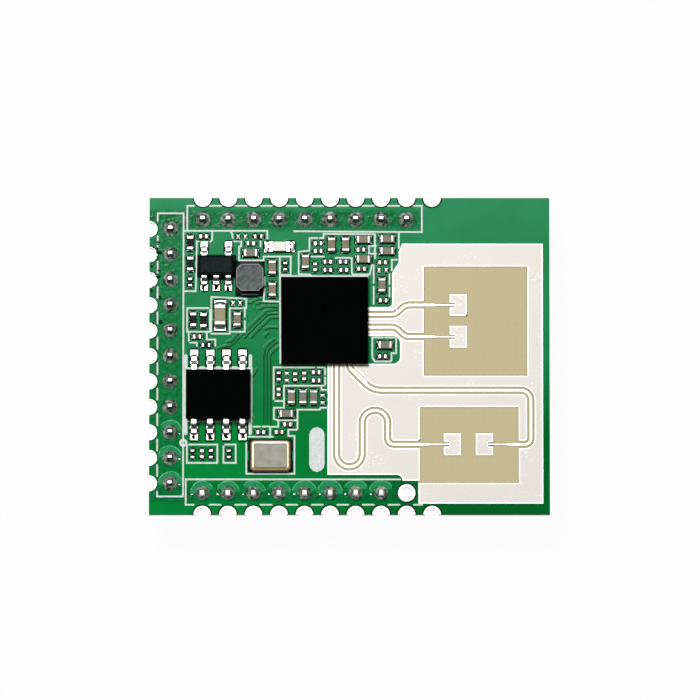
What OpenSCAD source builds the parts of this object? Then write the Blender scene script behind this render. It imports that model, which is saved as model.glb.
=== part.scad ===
// Presence radar sensor module.
// A printed circuit board carries a radar chip, etched patch antennas on coplanar
// feed lines, memory and supply parts, castellated edges and three rows of square
// pins that point down into a host board.
// Lengths are in millimetres. The origin lies under the middle of the board at the
// level of the pin tips, with +X along the board's long side and +Z up.

/* [Board] */
// Length of the board along X
board_w = 31.4; // [31.2:0.1:40]
// Width of the board along Y
board_h = 24.9; // [24.7:0.1:32]
// Finished thickness of the board
board_t = 1.2; // [0.8:0.1:2]
// Thickness of the solder mask with the copper under it
mask_t = 0.05; // [0.04:0.01:0.08]
// Thickness of the bare antenna copper
copper_t = 0.035; // [0.02:0.005:0.07]
// Thickness of the copper wall in a plated half hole
plating_t = 0.04; // [0.02:0.01:0.06]

/* [Pin rows] */
// Distance between neighbouring pins, and between neighbouring half holes
pin_pitch = 2; // [1.7:0.05:2.1]
// Number of pins and half holes along the left edge
left_pins = 11; // [2:1:11]
// Number of pins along the top edge
top_pins = 9; // [2:1:12]
// Number of pins along the bottom edge, before the empty hole
bottom_pins = 8; // [2:1:8]
// Distance from the left edge to its row of pins
left_inset = 1.65; // [1.4:0.05:1.8]
// Distance from the top and bottom edges to their rows of pins
side_inset = 1.7; // [1.4:0.05:1.8]
// Distance from the left edge to the first pin of the top and bottom rows
first_pin = 4.18; // [4:0.02:5]
// Side of the square pins
pin_side = 0.5; // [0.4:0.02:0.6]
// Length of the pins below the header strips
pin_below = 4; // [2:0.1:8]
// Length of the pins above the board
pin_above = 1.1; // [0.9:0.05:1.6]
// Length of the taper at each end of a pin
pin_taper = 0.15; // [0.1:0.05:0.5]
// Bevel that the taper takes off each side of a pin
pin_bevel = 0.1; // [0.04:0.01:0.15]
// Height of the header strips
header_h = 2; // [1:0.1:3]
// Width of the header strips
header_w = 2; // [1.6:0.1:2.2]
// Notch between two cells of a header strip
header_notch = 0.3; // [0.1:0.05:0.5]
// Diameter of the plated pin holes
hole_d = 0.9; // [0.86:0.02:1]
// Thickness of the copper and tin wall in a plated pin hole
barrel_t = 0.1; // [0.08:0.01:0.14]
// Growth of a pin hole's drilled radius from its lower to its upper end
drill_taper = 0.01; // [0.002:0.002:0.03]
// Diameter of the copper ring around a pin hole
ring_d = 1.36; // [1.2:0.02:1.5]
// Height of the solder dome around a pin
solder_h = 0.6; // [0.4:0.05:0.8]
// Thickness of the solder at the top of its dome
solder_rim = 0.05; // [0.02:0.01:0.1]

/* [Castellated edges] */
// Diameter of the half holes
half_hole_d = 1.05; // [0.8:0.05:1.1]
// Width of the copper ring around a half hole
half_ring = 0.16; // [0.1:0.02:0.2]
// Number of half holes along the top edge, and along the bottom edge
side_half_holes = 10; // [2:1:12]

/* [Antennas] */
// Length of a patch along its feed line
patch_l = 1.37; // [1.2:0.01:1.5]
// Width of a patch across its feed line
patch_w = 1.72; // [1.4:0.01:1.9]
// Width of a feed line
feed_w = 0.22; // [0.16:0.02:0.26]
// Width of the slot on each side of a feed line
slot_w = 0.18; // [0.12:0.02:0.22]
// Width of the matching line between a feed line and its patch
match_w = 0.12; // [0.08:0.01:0.16]
// Length of the matching line outside its patch
match_l = 1.15; // [0.8:0.05:1.2]
// Depth of the cuts that let the matching line into its patch
inset_l = 0.4; // [0.2:0.02:0.6]
// Width of each of those cuts
inset_w = 0.1; // [0.06:0.01:0.15]
// Length of the receive window in the ground copper along X
rx_window_w = 8.12; // [6:0.02:8.4]
// Width of the receive window along Y
rx_window_h = 8.6; // [6:0.1:9]
// Length of the transmit window along X
tx_window_w = 7.73; // [7.3:0.01:7.9]
// Width of the transmit window along Y
tx_window_h = 5.94; // [4:0.02:6]
// Distance between the two receive patches
rx_pitch = 2.5; // [2.2:0.05:3]
// Distance between the two receive lines at the chip
rx_exit_pitch = 1; // [0.8:0.05:1.2]
// Radius of the bends in the receive lines
rx_bend_r = 0.9; // [0.5:0.05:1]
// Radius of the turns in the meander of the left transmit line
meander_r = 1; // [0.8:0.02:1.05]
// Radius of the last bend before the transmit window
corner_r = 0.47; // [0.46:0.01:0.6]
// Radius of the bend into the lane along the right edge
lane_r = 0.8; // [0.5:0.05:1.2]
// Mask left between the ground copper and the right edge
right_margin = 0.52; // [0.4:0.02:0.6]
// Mask left between the ground copper and the bottom edge
bottom_margin = 0.86; // [0.5:0.02:1]
// Mask left between the ground copper and the top edge
top_margin = 3.6; // [3:0.05:4]

/* [Radar chip] */
// Side of the square package
chip_side = 6.8; // [6:0.05:6.9]
// Thickness of the moulded cap
chip_cap_h = 0.4; // [0.3:0.05:1]
// Thickness of the substrate under the cap
chip_substrate_h = 0.15; // [0.1:0.05:0.4]
// Bevel along the top edges of the cap
chip_bevel = 0.04; // [0.02:0.01:0.1]
// Distance between solder balls
ball_pitch = 0.55; // [0.5:0.01:0.6]
// Solder balls in a row
ball_rows = 11; // [4:1:11]
// Widest diameter of a solder ball
ball_d = 0.3; // [0.2:0.01:0.35]
// Height of the solder balls, and so of the package above the board
ball_h = 0.2; // [0.15:0.01:0.25]

/* [Memory chip] */
// Length of the body along X
flash_l = 5; // [4.6:0.05:5]
// Width of the body along Y
flash_w = 3.85; // [3.7:0.05:4]
// Thickness of the body
flash_h = 1.45; // [1.2:0.05:1.6]
// Distance between opposite lead tips
flash_span = 6; // [5.9:0.05:6.2]
// Distance between neighbouring leads
flash_pitch = 1.27; // [1.2:0.01:1.3]
// Width of a lead
flash_lead_w = 0.42; // [0.3:0.01:0.5]
// Thickness of a lead
flash_lead_t = 0.2; // [0.15:0.01:0.22]
// Length of the flat foot of a lead
flash_foot = 0.45; // [0.3:0.05:0.5]
// Gap between the body and the board
flash_gap = 0.12; // [0.05:0.01:0.2]
// Distance between opposite outer pad ends
flash_pad_span = 7.2; // [6.4:0.05:7.4]
// Length of a pad
flash_pad_l = 1.5; // [1:0.05:1.6]
// Width of a pad
flash_pad_w = 0.6; // [0.45:0.01:0.7]

/* [Regulator] */
// Length of the body along X
reg_l = 2.9; // [2.7:0.05:3]
// Width of the body along Y
reg_w = 1.6; // [1.5:0.05:1.65]
// Thickness of the body
reg_h = 1.05; // [0.9:0.05:1.2]
// Distance between opposite lead tips
reg_span = 2.85; // [2.8:0.05:3]
// Distance between neighbouring leads
reg_pitch = 0.95; // [0.9:0.01:1]
// Width of a lead
reg_lead_w = 0.42; // [0.3:0.01:0.45]
// Thickness of a lead
reg_lead_t = 0.15; // [0.1:0.01:0.16]
// Length of the flat foot of a lead
reg_foot = 0.32; // [0.2:0.02:0.34]
// Gap between the body and the board
reg_gap = 0.1; // [0.05:0.01:0.15]
// Distance between opposite outer pad ends
reg_pad_span = 3.84; // [3.2:0.02:4]
// Length of a pad
reg_pad_l = 0.95; // [0.6:0.05:1]
// Width of a pad
reg_pad_w = 0.53; // [0.45:0.01:0.6]
// Inner radius of the bends in all leads
lead_bend_r = 0.05; // [0.03:0.01:0.06]
// Taper of the moulded chip bodies towards top and bottom
body_draft = 0.1; // [0.02:0.01:0.15]

/* [Inductor] */
// Length of the core along X
coil_l = 2.1; // [1.8:0.05:2.2]
// Width of the upper flange along Y
coil_w = 2.1; // [1.9:0.05:2.3]
// Reach of the lower flange past the upper one at each end
coil_step = 0.28; // [0.1:0.02:0.3]
// Thickness of each flange of the core
coil_flange_h = 0.32; // [0.2:0.02:0.4]
// Height of the winding between the flanges
coil_winding_h = 0.4; // [0.2:0.02:0.6]
// Width of the bevels at the flange corners
coil_corner = 0.38; // [0.1:0.02:0.4]
// Depth of the winding groove in the core
coil_groove = 0.5; // [0.2:0.05:0.6]
// Set-back of the winding from the flange edges
coil_setback = 0.12; // [0.05:0.01:0.2]
// Length of a terminal along Y
coil_terminal = 0.7; // [0.4:0.05:0.8]
// Thickness of a terminal
coil_terminal_t = 0.06; // [0.03:0.01:0.1]

/* [Crystal] */
// Length of the ceramic base along X
crystal_l = 3.2; // [3:0.05:3.3]
// Width of the ceramic base along Y
crystal_w = 2.5; // [2.3:0.05:2.6]
// Thickness of the ceramic base
crystal_base_h = 0.42; // [0.3:0.02:0.6]
// Radius of the quarter-round cuts at the base corners
crystal_corner_r = 0.18; // [0.1:0.01:0.25]
// Radius of the corners of the seal ring and the lid
crystal_ring_r = 0.24; // [0.18:0.01:0.28]
// Set-back of the seal ring from the base edges
crystal_ring_set = 0.09; // [0.05:0.01:0.12]
// Height of the seal ring
crystal_ring_h = 0.14; // [0.1:0.01:0.2]
// Width of the seal ring's wall
crystal_ring_w = 0.34; // [0.26:0.01:0.4]
// Set-back of the lid from the seal ring's outer edges
crystal_lid_set = 0.22; // [0.12:0.01:0.24]
// Thickness of the lid
crystal_lid_h = 0.08; // [0.05:0.01:0.15]
// Length of a terminal along X
crystal_pad_l = 1.1; // [0.8:0.05:1.3]
// Width of a terminal along Y
crystal_pad_w = 0.9; // [0.6:0.05:1.05]
// Thickness of a terminal
crystal_pad_t = 0.03; // [0.02:0.01:0.06]

/* [Indicator lamp] */
// Length of the lamp along X
led_l = 1.6; // [1.5:0.05:1.8]
// Width of the lamp along Y
led_w = 0.8; // [0.7:0.05:0.9]
// Thickness of the lamp's base
led_base_h = 0.22; // [0.15:0.01:0.3]
// Length of the lens along X
led_lens_l = 1.06; // [0.8:0.02:1.1]
// Height of the lens
led_lens_h = 0.34; // [0.2:0.02:0.5]
// Length of a terminal along X
led_terminal = 0.26; // [0.2:0.02:0.26]
// Height of a terminal above the base
led_terminal_t = 0.03; // [0.02:0.01:0.06]

/* [Chip parts] */
// Length of the large capacitor
large_cap_l = 1.6; // [1.5:0.05:1.7]
// Width of the large capacitor
large_cap_w = 0.9; // [0.8:0.05:1]
// Height of the large capacitor
large_cap_h = 0.8; // [0.6:0.05:1]
// Length of an end band on the large capacitor
large_cap_band = 0.32; // [0.2:0.02:0.5]
// Length of a medium capacitor
cap_l = 1.05; // [1:0.05:1.1]
// Width of a medium capacitor
cap_w = 0.6; // [0.5:0.02:0.66]
// Height of a medium capacitor
cap_h = 0.52; // [0.4:0.02:0.6]
// Length of an end band on a medium capacitor
cap_band = 0.22; // [0.15:0.01:0.3]
// Length of a small capacitor
small_cap_l = 0.64; // [0.58:0.02:0.66]
// Width of a small capacitor
small_cap_w = 0.34; // [0.28:0.02:0.36]
// Height of a small capacitor
small_cap_h = 0.3; // [0.2:0.02:0.4]
// Length of an end band on a small capacitor
small_cap_band = 0.2; // [0.12:0.01:0.22]
// Length of a medium resistor
res_l = 1.05; // [0.95:0.05:1.1]
// Width of a medium resistor
res_w = 0.52; // [0.45:0.01:0.56]
// Height of a medium resistor
res_h = 0.35; // [0.25:0.02:0.45]
// Length of an end band on a medium resistor
res_band = 0.21; // [0.15:0.01:0.3]
// Length of a small resistor
small_res_l = 0.64; // [0.58:0.02:0.66]
// Width of a small resistor
small_res_w = 0.34; // [0.28:0.02:0.36]
// Height of a small resistor
small_res_h = 0.24; // [0.18:0.02:0.3]
// Length of an end band on a small resistor
small_res_band = 0.16; // [0.12:0.01:0.2]
// Thickness of the metal on the end bands
band_t = 0.02; // [0.01:0.005:0.04]
// Thickness of the dark overcoat on a resistor
overcoat_t = 0.03; // [0.02:0.01:0.05]
// Length of a large pad past the end of its part
large_toe = 0.38; // [0.2:0.02:0.4]
// Length of a medium pad past the end of its part
toe = 0.1; // [0.08:0.02:0.24]
// Length of a small pad past the end of its part
small_toe = 0.09; // [0.05:0.01:0.16]

/* [Hidden] */
$fn = 48;

// Levels above the pin tips
board_z = pin_below + header_h;
top_z = board_z + board_t;
copper_z = top_z - mask_t;
pin_top = top_z + pin_above;

// Board edges
right_edge = board_w / 2;
left_edge = -right_edge;
top_edge = board_h / 2;
bottom_edge = -top_edge;

// Pin rows and half holes
left_row_x = left_edge + left_inset;
top_row_y = top_edge - side_inset;
bottom_row_y = bottom_edge + side_inset;
first_x = left_edge + first_pin;
first_y = -pin_pitch * (left_pins - 1) / 2;
left_row = [for (k = [0 : left_pins - 1]) [left_row_x, first_y + k * pin_pitch]];
top_row = [for (k = [0 : top_pins - 1]) [first_x + k * pin_pitch, top_row_y]];
bottom_row = [for (k = [0 : bottom_pins - 1]) [first_x + k * pin_pitch, bottom_row_y]];
spare_hole = [first_x + bottom_pins * pin_pitch, bottom_row_y];
left_half_holes = [for (p = left_row) [left_edge, p[1]]];
top_half_holes = [for (k = [0 : side_half_holes - 1]) [first_x + k * pin_pitch, top_edge]];
bottom_half_holes = [for (p = top_half_holes) [p[0], bottom_edge]];
half_holes = concat(left_half_holes, top_half_holes, bottom_half_holes);
pin_holes = concat(left_row, top_row, bottom_row, [spare_hole]);

// Places of the larger parts, from the middle of the board
chip_at = [-1.95, 2.77];
flash_at = [-10.28, -3.06];
reg_at = [-10.45, 7.08];
coil_at = [-7.8, 6.1];
crystal_at = [-6.19, -7.85];
led_at = [-5.5, 8.6];
rx_window_at = [5.83, -1.55];
tx_window_at = [5.53, -9.96];

// Places of the chip parts as x, y and turn
large_cap_places = [[-10.15, 3.2, 90]];
brown_cap_places = [
    [1.1, 9.15, 0], [1.1, 7.6, 0], [2.95, 9.2, 0], [2.95, 8.25, 0],
    [-6.05, 6.95, 90], [-6.05, 5.2, 90], [-3.45, 7.4, 90], [-1.4, 8.75, 90],
    [-0.3, 8.75, 90], [2.55, 5.55, 90], [-8.8, 2.85, 90], [-4.55, -3.25, 90]
];
grey_cap_places = [
    [-7.75, 8.1, 0], [2.8, 0.85, 0], [-4.95, -4.55, 0],
    [-3.65, -3.25, 90], [-2.8, -3.25, 90]
];
small_cap_places = [
    [-11.45, 9.4, 0], [-7.75, 8.85, 0], [-2.45, 8.85, 0], [-2.45, 8.25, 0],
    [-1.7, 7.4, 0], [-0.5, 7.4, 0], [-1.7, 6.75, 0], [-0.45, 6.75, 0],
    [0.9, 8.35, 0], [0.95, 6.85, 0], [2.6, 7.35, 0], [2.65, 4.35, 0],
    [2.6, -0.05, 0], [-11.95, 1.5, 0], [-2.6, -1.3, 0], [-2.6, -1.95, 0],
    [-4.85, -5.4, 0], [-6.95, -6, 0], [-5.5, -6, 0],
    [-2.7, 7, 90], [-4.25, -1.65, 90], [-3.55, -1.6, 90], [-5.55, -2.85, 90],
    [-11.55, -7.7, 90]
];
res_places = [[-12.5, 8.9, 90], [-12.5, 7.25, 90], [-12.25, 2.85, 90], [-11.45, 2.8, 90]];
small_res_places = [
    [-7.15, 9.4, 0], [-11.25, 0.85, 0],
    [-12.5, 5.8, 90], [-5.05, 7.05, 90], [-5.55, -1.6, 90],
    [-12.3, -7.7, 90], [-10.85, -7.7, 90], [-9.45, -7.7, 90]
];
empty_places = [
    [-8.45, 9.4, 0], [2.6, 6.75, 0], [-8.85, 4.15, 0],
    [-4.9, -1.65, 90], [-2.1, -3.4, 90]
];
led_place = [[led_at[0], led_at[1], 0]];

// Mask opening over the antennas. The copper tucks a little way under the chip.
tuck = 0.3;
chip_right = chip_at[0] + chip_side / 2;
chip_bottom = chip_at[1] - chip_side / 2;
opening_left = -1.72;
opening_low = -9.33;
shelf_left = 3.7;
shelf_r = 0.46;
shelf_right = 5.4;
upper_island_low = 3.85;
upper_island_right = 3.35;
upper_island_r = 0.35;
upper_island_flare = [[3.35, 6.55], [3.87, 7.37], [3.87, 8.2], [4.2, 9]];
lower_island_low = -0.61;
lower_island_high = 1.57;
lower_island_right = 3.97;
lower_island_r = 0.55;
island_tuck = 1;

// Feed lines, as a start of x, y and heading, and a list of steps
lane_w = feed_w + 2 * slot_w;
sway = 45;
rx_straight = 1.8;
rx_stub = 0.88;
rx_rise = (rx_pitch - rx_exit_pitch) / 2;
rx_diagonal = (rx_rise - 2 * rx_bend_r * (1 - cos(sway))) / sin(sway);
rx_sway_run = 2 * rx_bend_r * sin(sway) + rx_diagonal * cos(sway);
rx_last = rx_window_at[0] + rx_stub - chip_right - rx_straight - rx_sway_run;
rx_start = [chip_right - tuck, chip_at[1], 0];

tx_y = -6.94;
meander_low = -7.71;
meander_high = -5.27;
tx_left_exit = 0.95;
tx_left_x = chip_at[0] + tx_left_exit;
tx_left_stub = 0.7;
tx_left_start = [tx_left_x, chip_bottom + tuck, -90];
tx_left_last = tx_window_at[0] + tx_left_stub - tx_left_x - 4 * meander_r - corner_r;
tx_left_steps = [
    [chip_bottom + tuck - meander_low],
    [meander_r, 180],
    [meander_high - meander_low],
    [meander_r, -180],
    [meander_high - tx_y - corner_r],
    [corner_r, 90],
    [tx_left_last]
];

tx_right_exit = 1.95;
tx_right_x = chip_at[0] + tx_right_exit;
tx_right_stub = 0.85;
tx_right_start = [tx_right_x, chip_bottom + tuck, -90];
link_y = -2.69;
lane_x = 14.22;
exit_bend_r = 0.7;
link_bend_r = 1.7;
tx_diagonal = (chip_bottom - exit_bend_r * sin(sway) - link_bend_r * (1 - cos(sway)) - link_y) / sin(sway);
link_x = tx_right_x + exit_bend_r * (1 - cos(sway)) + tx_diagonal * cos(sway) + link_bend_r * sin(sway);
tx_right_last = lane_x - corner_r - tx_window_at[0] - tx_window_w + tx_right_stub;
tx_right_steps = [
    [tuck],
    [exit_bend_r, sway],
    [tx_diagonal],
    [link_bend_r, sway],
    [lane_x - lane_r - link_x],
    [lane_r, -90],
    [link_y - lane_r - tx_y - corner_r],
    [corner_r, -90],
    [tx_right_last]
];

// Leads of the moulded chips, as x from the middle of the body and side of the body
flash_leads = [for (side = [-1, 1]) for (k = [0 : 3]) [(k - 1.5) * flash_pitch, side]];
reg_leads = [[-reg_pitch, 1], [reg_pitch, 1], [-reg_pitch, -1], [0, -1], [reg_pitch, -1]];

// Reach of the inductor and crystal pads past the ends of their parts
land = 0.08;
// Overshoot of cutting shapes
cut = 0.1;

// Drawing helpers

// Where a route stands after a step. A step is [length] for a straight run,
// or [radius, turn] for a bend, with a left turn positive.
function after(p, step) =
    len(step) == 1
        ? [p[0] + step[0] * cos(p[2]), p[1] + step[0] * sin(p[2]), p[2]]
        : let (c = bend_centre(p, step), side = sign(step[1]), h = p[2] + step[1])
          [c[0] + side * step[0] * sin(h), c[1] - side * step[0] * cos(h), h];

function bend_centre(p, step) =
    let (side = sign(step[1]))
    [p[0] - side * step[0] * sin(p[2]), p[1] + side * step[0] * cos(p[2])];

function end_of(p, steps, k = 0) =
    k == len(steps) ? p : end_of(after(p, steps[k]), steps, k + 1);

// A strip of constant width along a route
module route(p, steps, w, k = 0) {
    if (k < len(steps)) {
        route_step(p, steps[k], w);
        route(after(p, steps[k]), steps, w, k + 1);
    }
}

module route_step(p, step, w) {
    if (len(step) == 1)
        translate([p[0], p[1]]) rotate(p[2]) translate([0, -w / 2]) square([step[0], w]);
    else
        translate(bend_centre(p, step))
            ring_sector(step[0], w, p[2] - 90 * sign(step[1]) + min(0, step[1]), abs(step[1]));
}

module ring_sector(r, w, from, sweep) {
    reach = 2 * (r + w / 2);
    rays = [for (k = [0 : 3]) from + k * sweep / 3];
    intersection() {
        difference() {
            circle(r + w / 2);
            circle(r - w / 2);
        }
        polygon(concat([[0, 0]], [for (a = rays) reach * [cos(a), sin(a)]]));
    }
}

// A flat rectangle given by two corners
module patch(low, high) {
    translate(low) square([high[0] - low[0], high[1] - low[1]]);
}

// A flat rectangle given by two corners, with round corners
module soft_patch(low, high, r) {
    patch([low[0] + r, low[1]], [high[0] - r, high[1]]);
    patch([low[0], low[1] + r], [high[0], high[1] - r]);
    for (x = [low[0] + r, high[0] - r], y = [low[1] + r, high[1] - r])
        translate([x, y]) circle(r);
}

// A flat rectangle about the origin with bevelled corners
module bevelled(w, h, c) {
    x = w / 2;
    y = h / 2;
    polygon([
        [c - x, -y], [x - c, -y], [x, c - y], [x, y - c],
        [x - c, y], [c - x, y], [-x, y - c], [-x, c - y]
    ]);
}

// Repeats a shape at each place of a list of x, y and turn
module at_places(places) {
    for (p = places) translate([p[0], p[1], 0]) rotate(p[2]) children();
}

// Lifts a flat shape to a level and gives it a thickness
module layer(z, t) {
    translate([0, 0, z]) linear_extrude(t) children();
}

// A solid with one side profile seen along Y and another seen along X
module crossed(front, side, reach) {
    intersection() {
        rotate([90, 0, 0]) linear_extrude(reach, center = true) polygon(front);
        rotate([90, 0, 90]) linear_extrude(reach, center = true) polygon(side);
    }
}

// Side profile of a moulded body, widest in a band of thickness t at half height
function moulded_profile(w, h, t) =
    let (x = w / 2, low = (h - t) / 2, high = (h + t) / 2)
    [
        [body_draft - x, 0], [x - body_draft, 0], [x, low], [x, high],
        [x - body_draft, h], [body_draft - x, h], [-x, high], [-x, low]
    ];

module moulded_body(l, w, h, t) {
    crossed(moulded_profile(l, h, t), moulded_profile(w, h, t), 2 * l);
}

// Gull-wing leads, each a strip bent down from the band of its body to a flat foot
module gull_wings(leads, w, span, h, gap, lead_w, t, foot) {
    r = lead_bend_r + t / 2;
    shoulder = (span - w) / 2 - foot - 2 * r;
    drop = gap + h / 2 - t / 2 - 2 * r;
    for (lead = leads)
        translate([lead[0], lead[1] * w / 2, 0])
            rotate([90, 0, lead[1] * 90])
                linear_extrude(lead_w, center = true)
                    route([0, gap + h / 2, 0], [[shoulder], [r, -90], [drop], [r, 90], [foot]], t);
}

// Pads under gull-wing leads
module lead_pads(leads, span, pad_l, pad_w) {
    for (lead = leads)
        translate([lead[0], lead[1] * (span - pad_l) / 2]) square([pad_w, pad_l], center = true);
}

// A copper wall in a plated hole, with a ring on each face of the board
module plated_wall(r, wall, ring_r, turn, taper = 0) {
    low_r = r + wall - taper / 2;
    high_r = r + wall + taper / 2;
    rotate_extrude(angle = turn)
        polygon([
            [r, 0], [ring_r, 0], [ring_r, mask_t], [low_r, mask_t],
            [high_r, board_t - mask_t], [ring_r, board_t - mask_t], [ring_r, board_t], [r, board_t]
        ]);
}

// The hole that a drill leaves in the laminate for a plated pin hole
module drilled_hole() {
    mid_r = hole_d / 2 + barrel_t;
    cylinder(h = board_t - 2 * mask_t, r1 = mid_r - drill_taper / 2, r2 = mid_r + drill_taper / 2);
}

module half_hole_walls(holes, turn) {
    r = half_hole_d / 2;
    for (p = holes) translate([p[0], p[1], board_z]) rotate(turn) plated_wall(r, plating_t, r + half_ring, 180);
}

// A header strip, one bevelled cell to a pin
module header_strip(row, turn) {
    layer(pin_below, header_h)
        difference() {
            for (p = row) translate(p) rotate(turn) bevelled(pin_pitch, header_w, header_notch);
            for (p = row) translate(p) square(pin_side, center = true);
        }
}

// Square pins with a taper at both ends
module header_pins(row) {
    x = pin_side / 2;
    tip = x - pin_bevel;
    low = pin_taper;
    high = pin_top - pin_taper;
    profile = [
        [-tip, 0], [tip, 0], [x, low], [x, high],
        [tip, pin_top], [-tip, pin_top], [-x, high], [-x, low]
    ];
    for (p = row) translate([p[0], p[1], 0]) crossed(profile, profile, 2 * pin_side);
}

// Solder that fills a pin hole and swells round the pin in a full dome
module solder_joints(row) {
    foot_r = ring_d / 2;
    rim_r = pin_side / sqrt(2) + solder_rim;
    steps = 6;
    slope = [
        for (k = [0 : steps])
            let (a = 90 * k / steps)
            [rim_r + (foot_r - rim_r) * cos(a), top_z + solder_h * sin(a)]
    ];
    plug = [[0, board_z], [hole_d / 2, board_z], [hole_d / 2, top_z]];
    for (p = row)
        translate([p[0], p[1], 0])
            difference() {
                rotate_extrude() polygon(concat(plug, slope, [[0, top_z + solder_h]]));
                translate([-pin_side / 2, -pin_side / 2, 0]) cube([pin_side, pin_side, pin_top]);
            }
}

// The ceramic of a chip part, inside its end bands
module chip_core(l, w, h) {
    translate([band_t - l / 2, band_t - w / 2, top_z + band_t])
        cube([l - 2 * band_t, w - 2 * band_t, h - 2 * band_t]);
}

// The metal bands over both ends of a chip part
module end_bands(l, w, h, band) {
    difference() {
        for (x = [-l / 2, l / 2 - band]) translate([x, -w / 2, top_z]) cube([band, w, h]);
        chip_core(l, w, h);
    }
}

// The dark coat on top of a chip resistor, between its bands
module overcoat(l, w, h, band) {
    translate([band - l / 2, band_t - w / 2, top_z + h - band_t])
        cube([l - 2 * band, w - 2 * band_t, overcoat_t]);
}

// The two pads of a chip part
module pad_pair(l, w, band, reach) {
    for (x = [-l / 2 - reach, l / 2 - band]) translate([x, -w / 2]) square([band + reach, w]);
}

// Flat outlines that several layers share

module board_outline() {
    square([board_w, board_h], center = true);
}

module rings() {
    for (p = pin_holes) translate(p) circle(d = ring_d);
    for (p = half_holes) translate(p) circle(half_hole_d / 2 + half_ring);
}

module green_islands() {
    hidden_x = chip_right - tuck - island_tuck;
    soft_patch([hidden_x, lower_island_low], [lower_island_right, lower_island_high], lower_island_r);
    soft_patch(
        [hidden_x, upper_island_low],
        [upper_island_right, upper_island_flare[0][1] + upper_island_r],
        upper_island_r
    );
    polygon(concat([[hidden_x, top_edge], [hidden_x, upper_island_flare[0][1]]], upper_island_flare,
        [[upper_island_flare[3][0], top_edge]]));
}

module green_shelf() {
    shelf_y = opening_low - shelf_r;
    low = bottom_edge - cut;
    patch([opening_left - cut, low], [shelf_left, opening_low]);
    patch([opening_left - cut, low], [shelf_right, shelf_y]);
    translate([shelf_left, shelf_y]) circle(shelf_r);
}

module antenna_opening() {
    difference() {
        union() {
            patch([chip_right - tuck, bottom_edge + bottom_margin],
                [right_edge - right_margin, top_edge - top_margin]);
            patch([opening_left, opening_low - shelf_r], [chip_right, chip_bottom + tuck]);
        }
        green_islands();
        green_shelf();
    }
}

module antenna_windows() {
    translate(rx_window_at) square([rx_window_w, rx_window_h]);
    translate(tx_window_at) square([tx_window_w, tx_window_h]);
}

function rx_route_start(side) = [rx_start[0], rx_start[1] + side * rx_exit_pitch / 2, 0];
function rx_steps(side) =
    [[tuck + rx_straight], [rx_bend_r, side * sway], [rx_diagonal], [rx_bend_r, -side * sway], [rx_last]];

module feed_lanes(w) {
    for (side = [-1, 1]) route(rx_route_start(side), rx_steps(side), w);
    route(tx_left_start, tx_left_steps, w);
    route(tx_right_start, tx_right_steps, w);
}

// One antenna: its feed line, the narrow matching line and the patch it is let into
module antenna(start, steps) {
    tip = end_of(start, steps);
    notch_w = match_w + 2 * inset_w;
    layer(copper_z, copper_t) {
        route(start, steps, feed_w);
        translate([tip[0], tip[1]]) rotate(tip[2]) {
            translate([0, -match_w / 2]) square([match_l + inset_l, match_w]);
            translate([match_l, 0])
                difference() {
                    translate([0, -patch_w / 2]) square([patch_l, patch_w]);
                    translate([-cut, -notch_w / 2]) square([cut + inset_l, notch_w]);
                }
        }
    }
}

module chip_pad_shapes() {
    translate(flash_at) lead_pads(flash_leads, flash_pad_span, flash_pad_l, flash_pad_w);
    translate(reg_at) lead_pads(reg_leads, reg_pad_span, reg_pad_l, reg_pad_w);
    translate(coil_at) coil_terminal_shapes(land);
    translate(crystal_at) crystal_terminal_shapes(land);
}

module passive_pad_shapes() {
    at_places(large_cap_places) pad_pair(large_cap_l, large_cap_w, large_cap_band, large_toe);
    at_places(led_place) pad_pair(led_l, led_w, led_terminal, large_toe);
    at_places(concat(brown_cap_places, grey_cap_places)) pad_pair(cap_l, cap_w, cap_band, toe);
    at_places(small_cap_places) pad_pair(small_cap_l, small_cap_w, small_cap_band, small_toe);
    at_places(res_places) pad_pair(res_l, res_w, res_band, toe);
    at_places(concat(small_res_places, empty_places))
        pad_pair(small_res_l, small_res_w, small_res_band, small_toe);
}

module coil_terminal_shapes(reach) {
    w = coil_l - 2 * coil_corner;
    foot_w = coil_w + 2 * coil_step;
    for (side = [-1, 1])
        translate([-w / 2, side * (foot_w + reach - coil_terminal) / 2 - (coil_terminal + reach) / 2])
            square([w, coil_terminal + reach]);
}

module crystal_terminal_shapes(reach) {
    l = crystal_pad_l + reach;
    w = crystal_pad_w;
    for (sx = [-1, 1], sy = [-1, 1])
        translate([sx * (crystal_l / 2 + reach - l / 2), sy * (crystal_w - w) / 2])
            square([l, w], center = true);
}

module crystal_outline() {
    difference() {
        square([crystal_l, crystal_w], center = true);
        for (sx = [-1, 1], sy = [-1, 1])
            translate([sx * crystal_l / 2, sy * crystal_w / 2]) circle(crystal_corner_r);
    }
}

// A frame or plate set back from the crystal's base edges
module crystal_plate(setback) {
    x = crystal_l / 2 - setback;
    y = crystal_w / 2 - setback;
    soft_patch([-x, -y], [x, y], crystal_ring_r);
}

// Sub-parts: the board

module laminate_core() {
    color("#c4b78e")
        difference() {
            layer(board_z + mask_t, board_t - 2 * mask_t)
                difference() {
                    board_outline();
                    for (p = half_holes) translate(p) circle(half_hole_d / 2 + plating_t);
                }
            for (p = pin_holes) translate([p[0], p[1], board_z + mask_t]) drilled_hole();
        }
}

module top_solder_mask() {
    color("#1f8f4f")
        layer(copper_z, mask_t)
            difference() {
                board_outline();
                antenna_opening();
                rings();
                chip_pad_shapes();
                passive_pad_shapes();
            }
}

module bottom_solder_mask() {
    color("#1f8f4f")
        layer(board_z, mask_t)
            difference() {
                board_outline();
                rings();
            }
}

module antenna_ground_plane() {
    color("#eeeae4")
        layer(copper_z, copper_t)
            difference() {
                antenna_opening();
                antenna_windows();
                feed_lanes(lane_w);
            }
}

module receive_antenna_upper() {
    color("#f4f1ea") antenna(rx_route_start(1), rx_steps(1));
}

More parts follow.
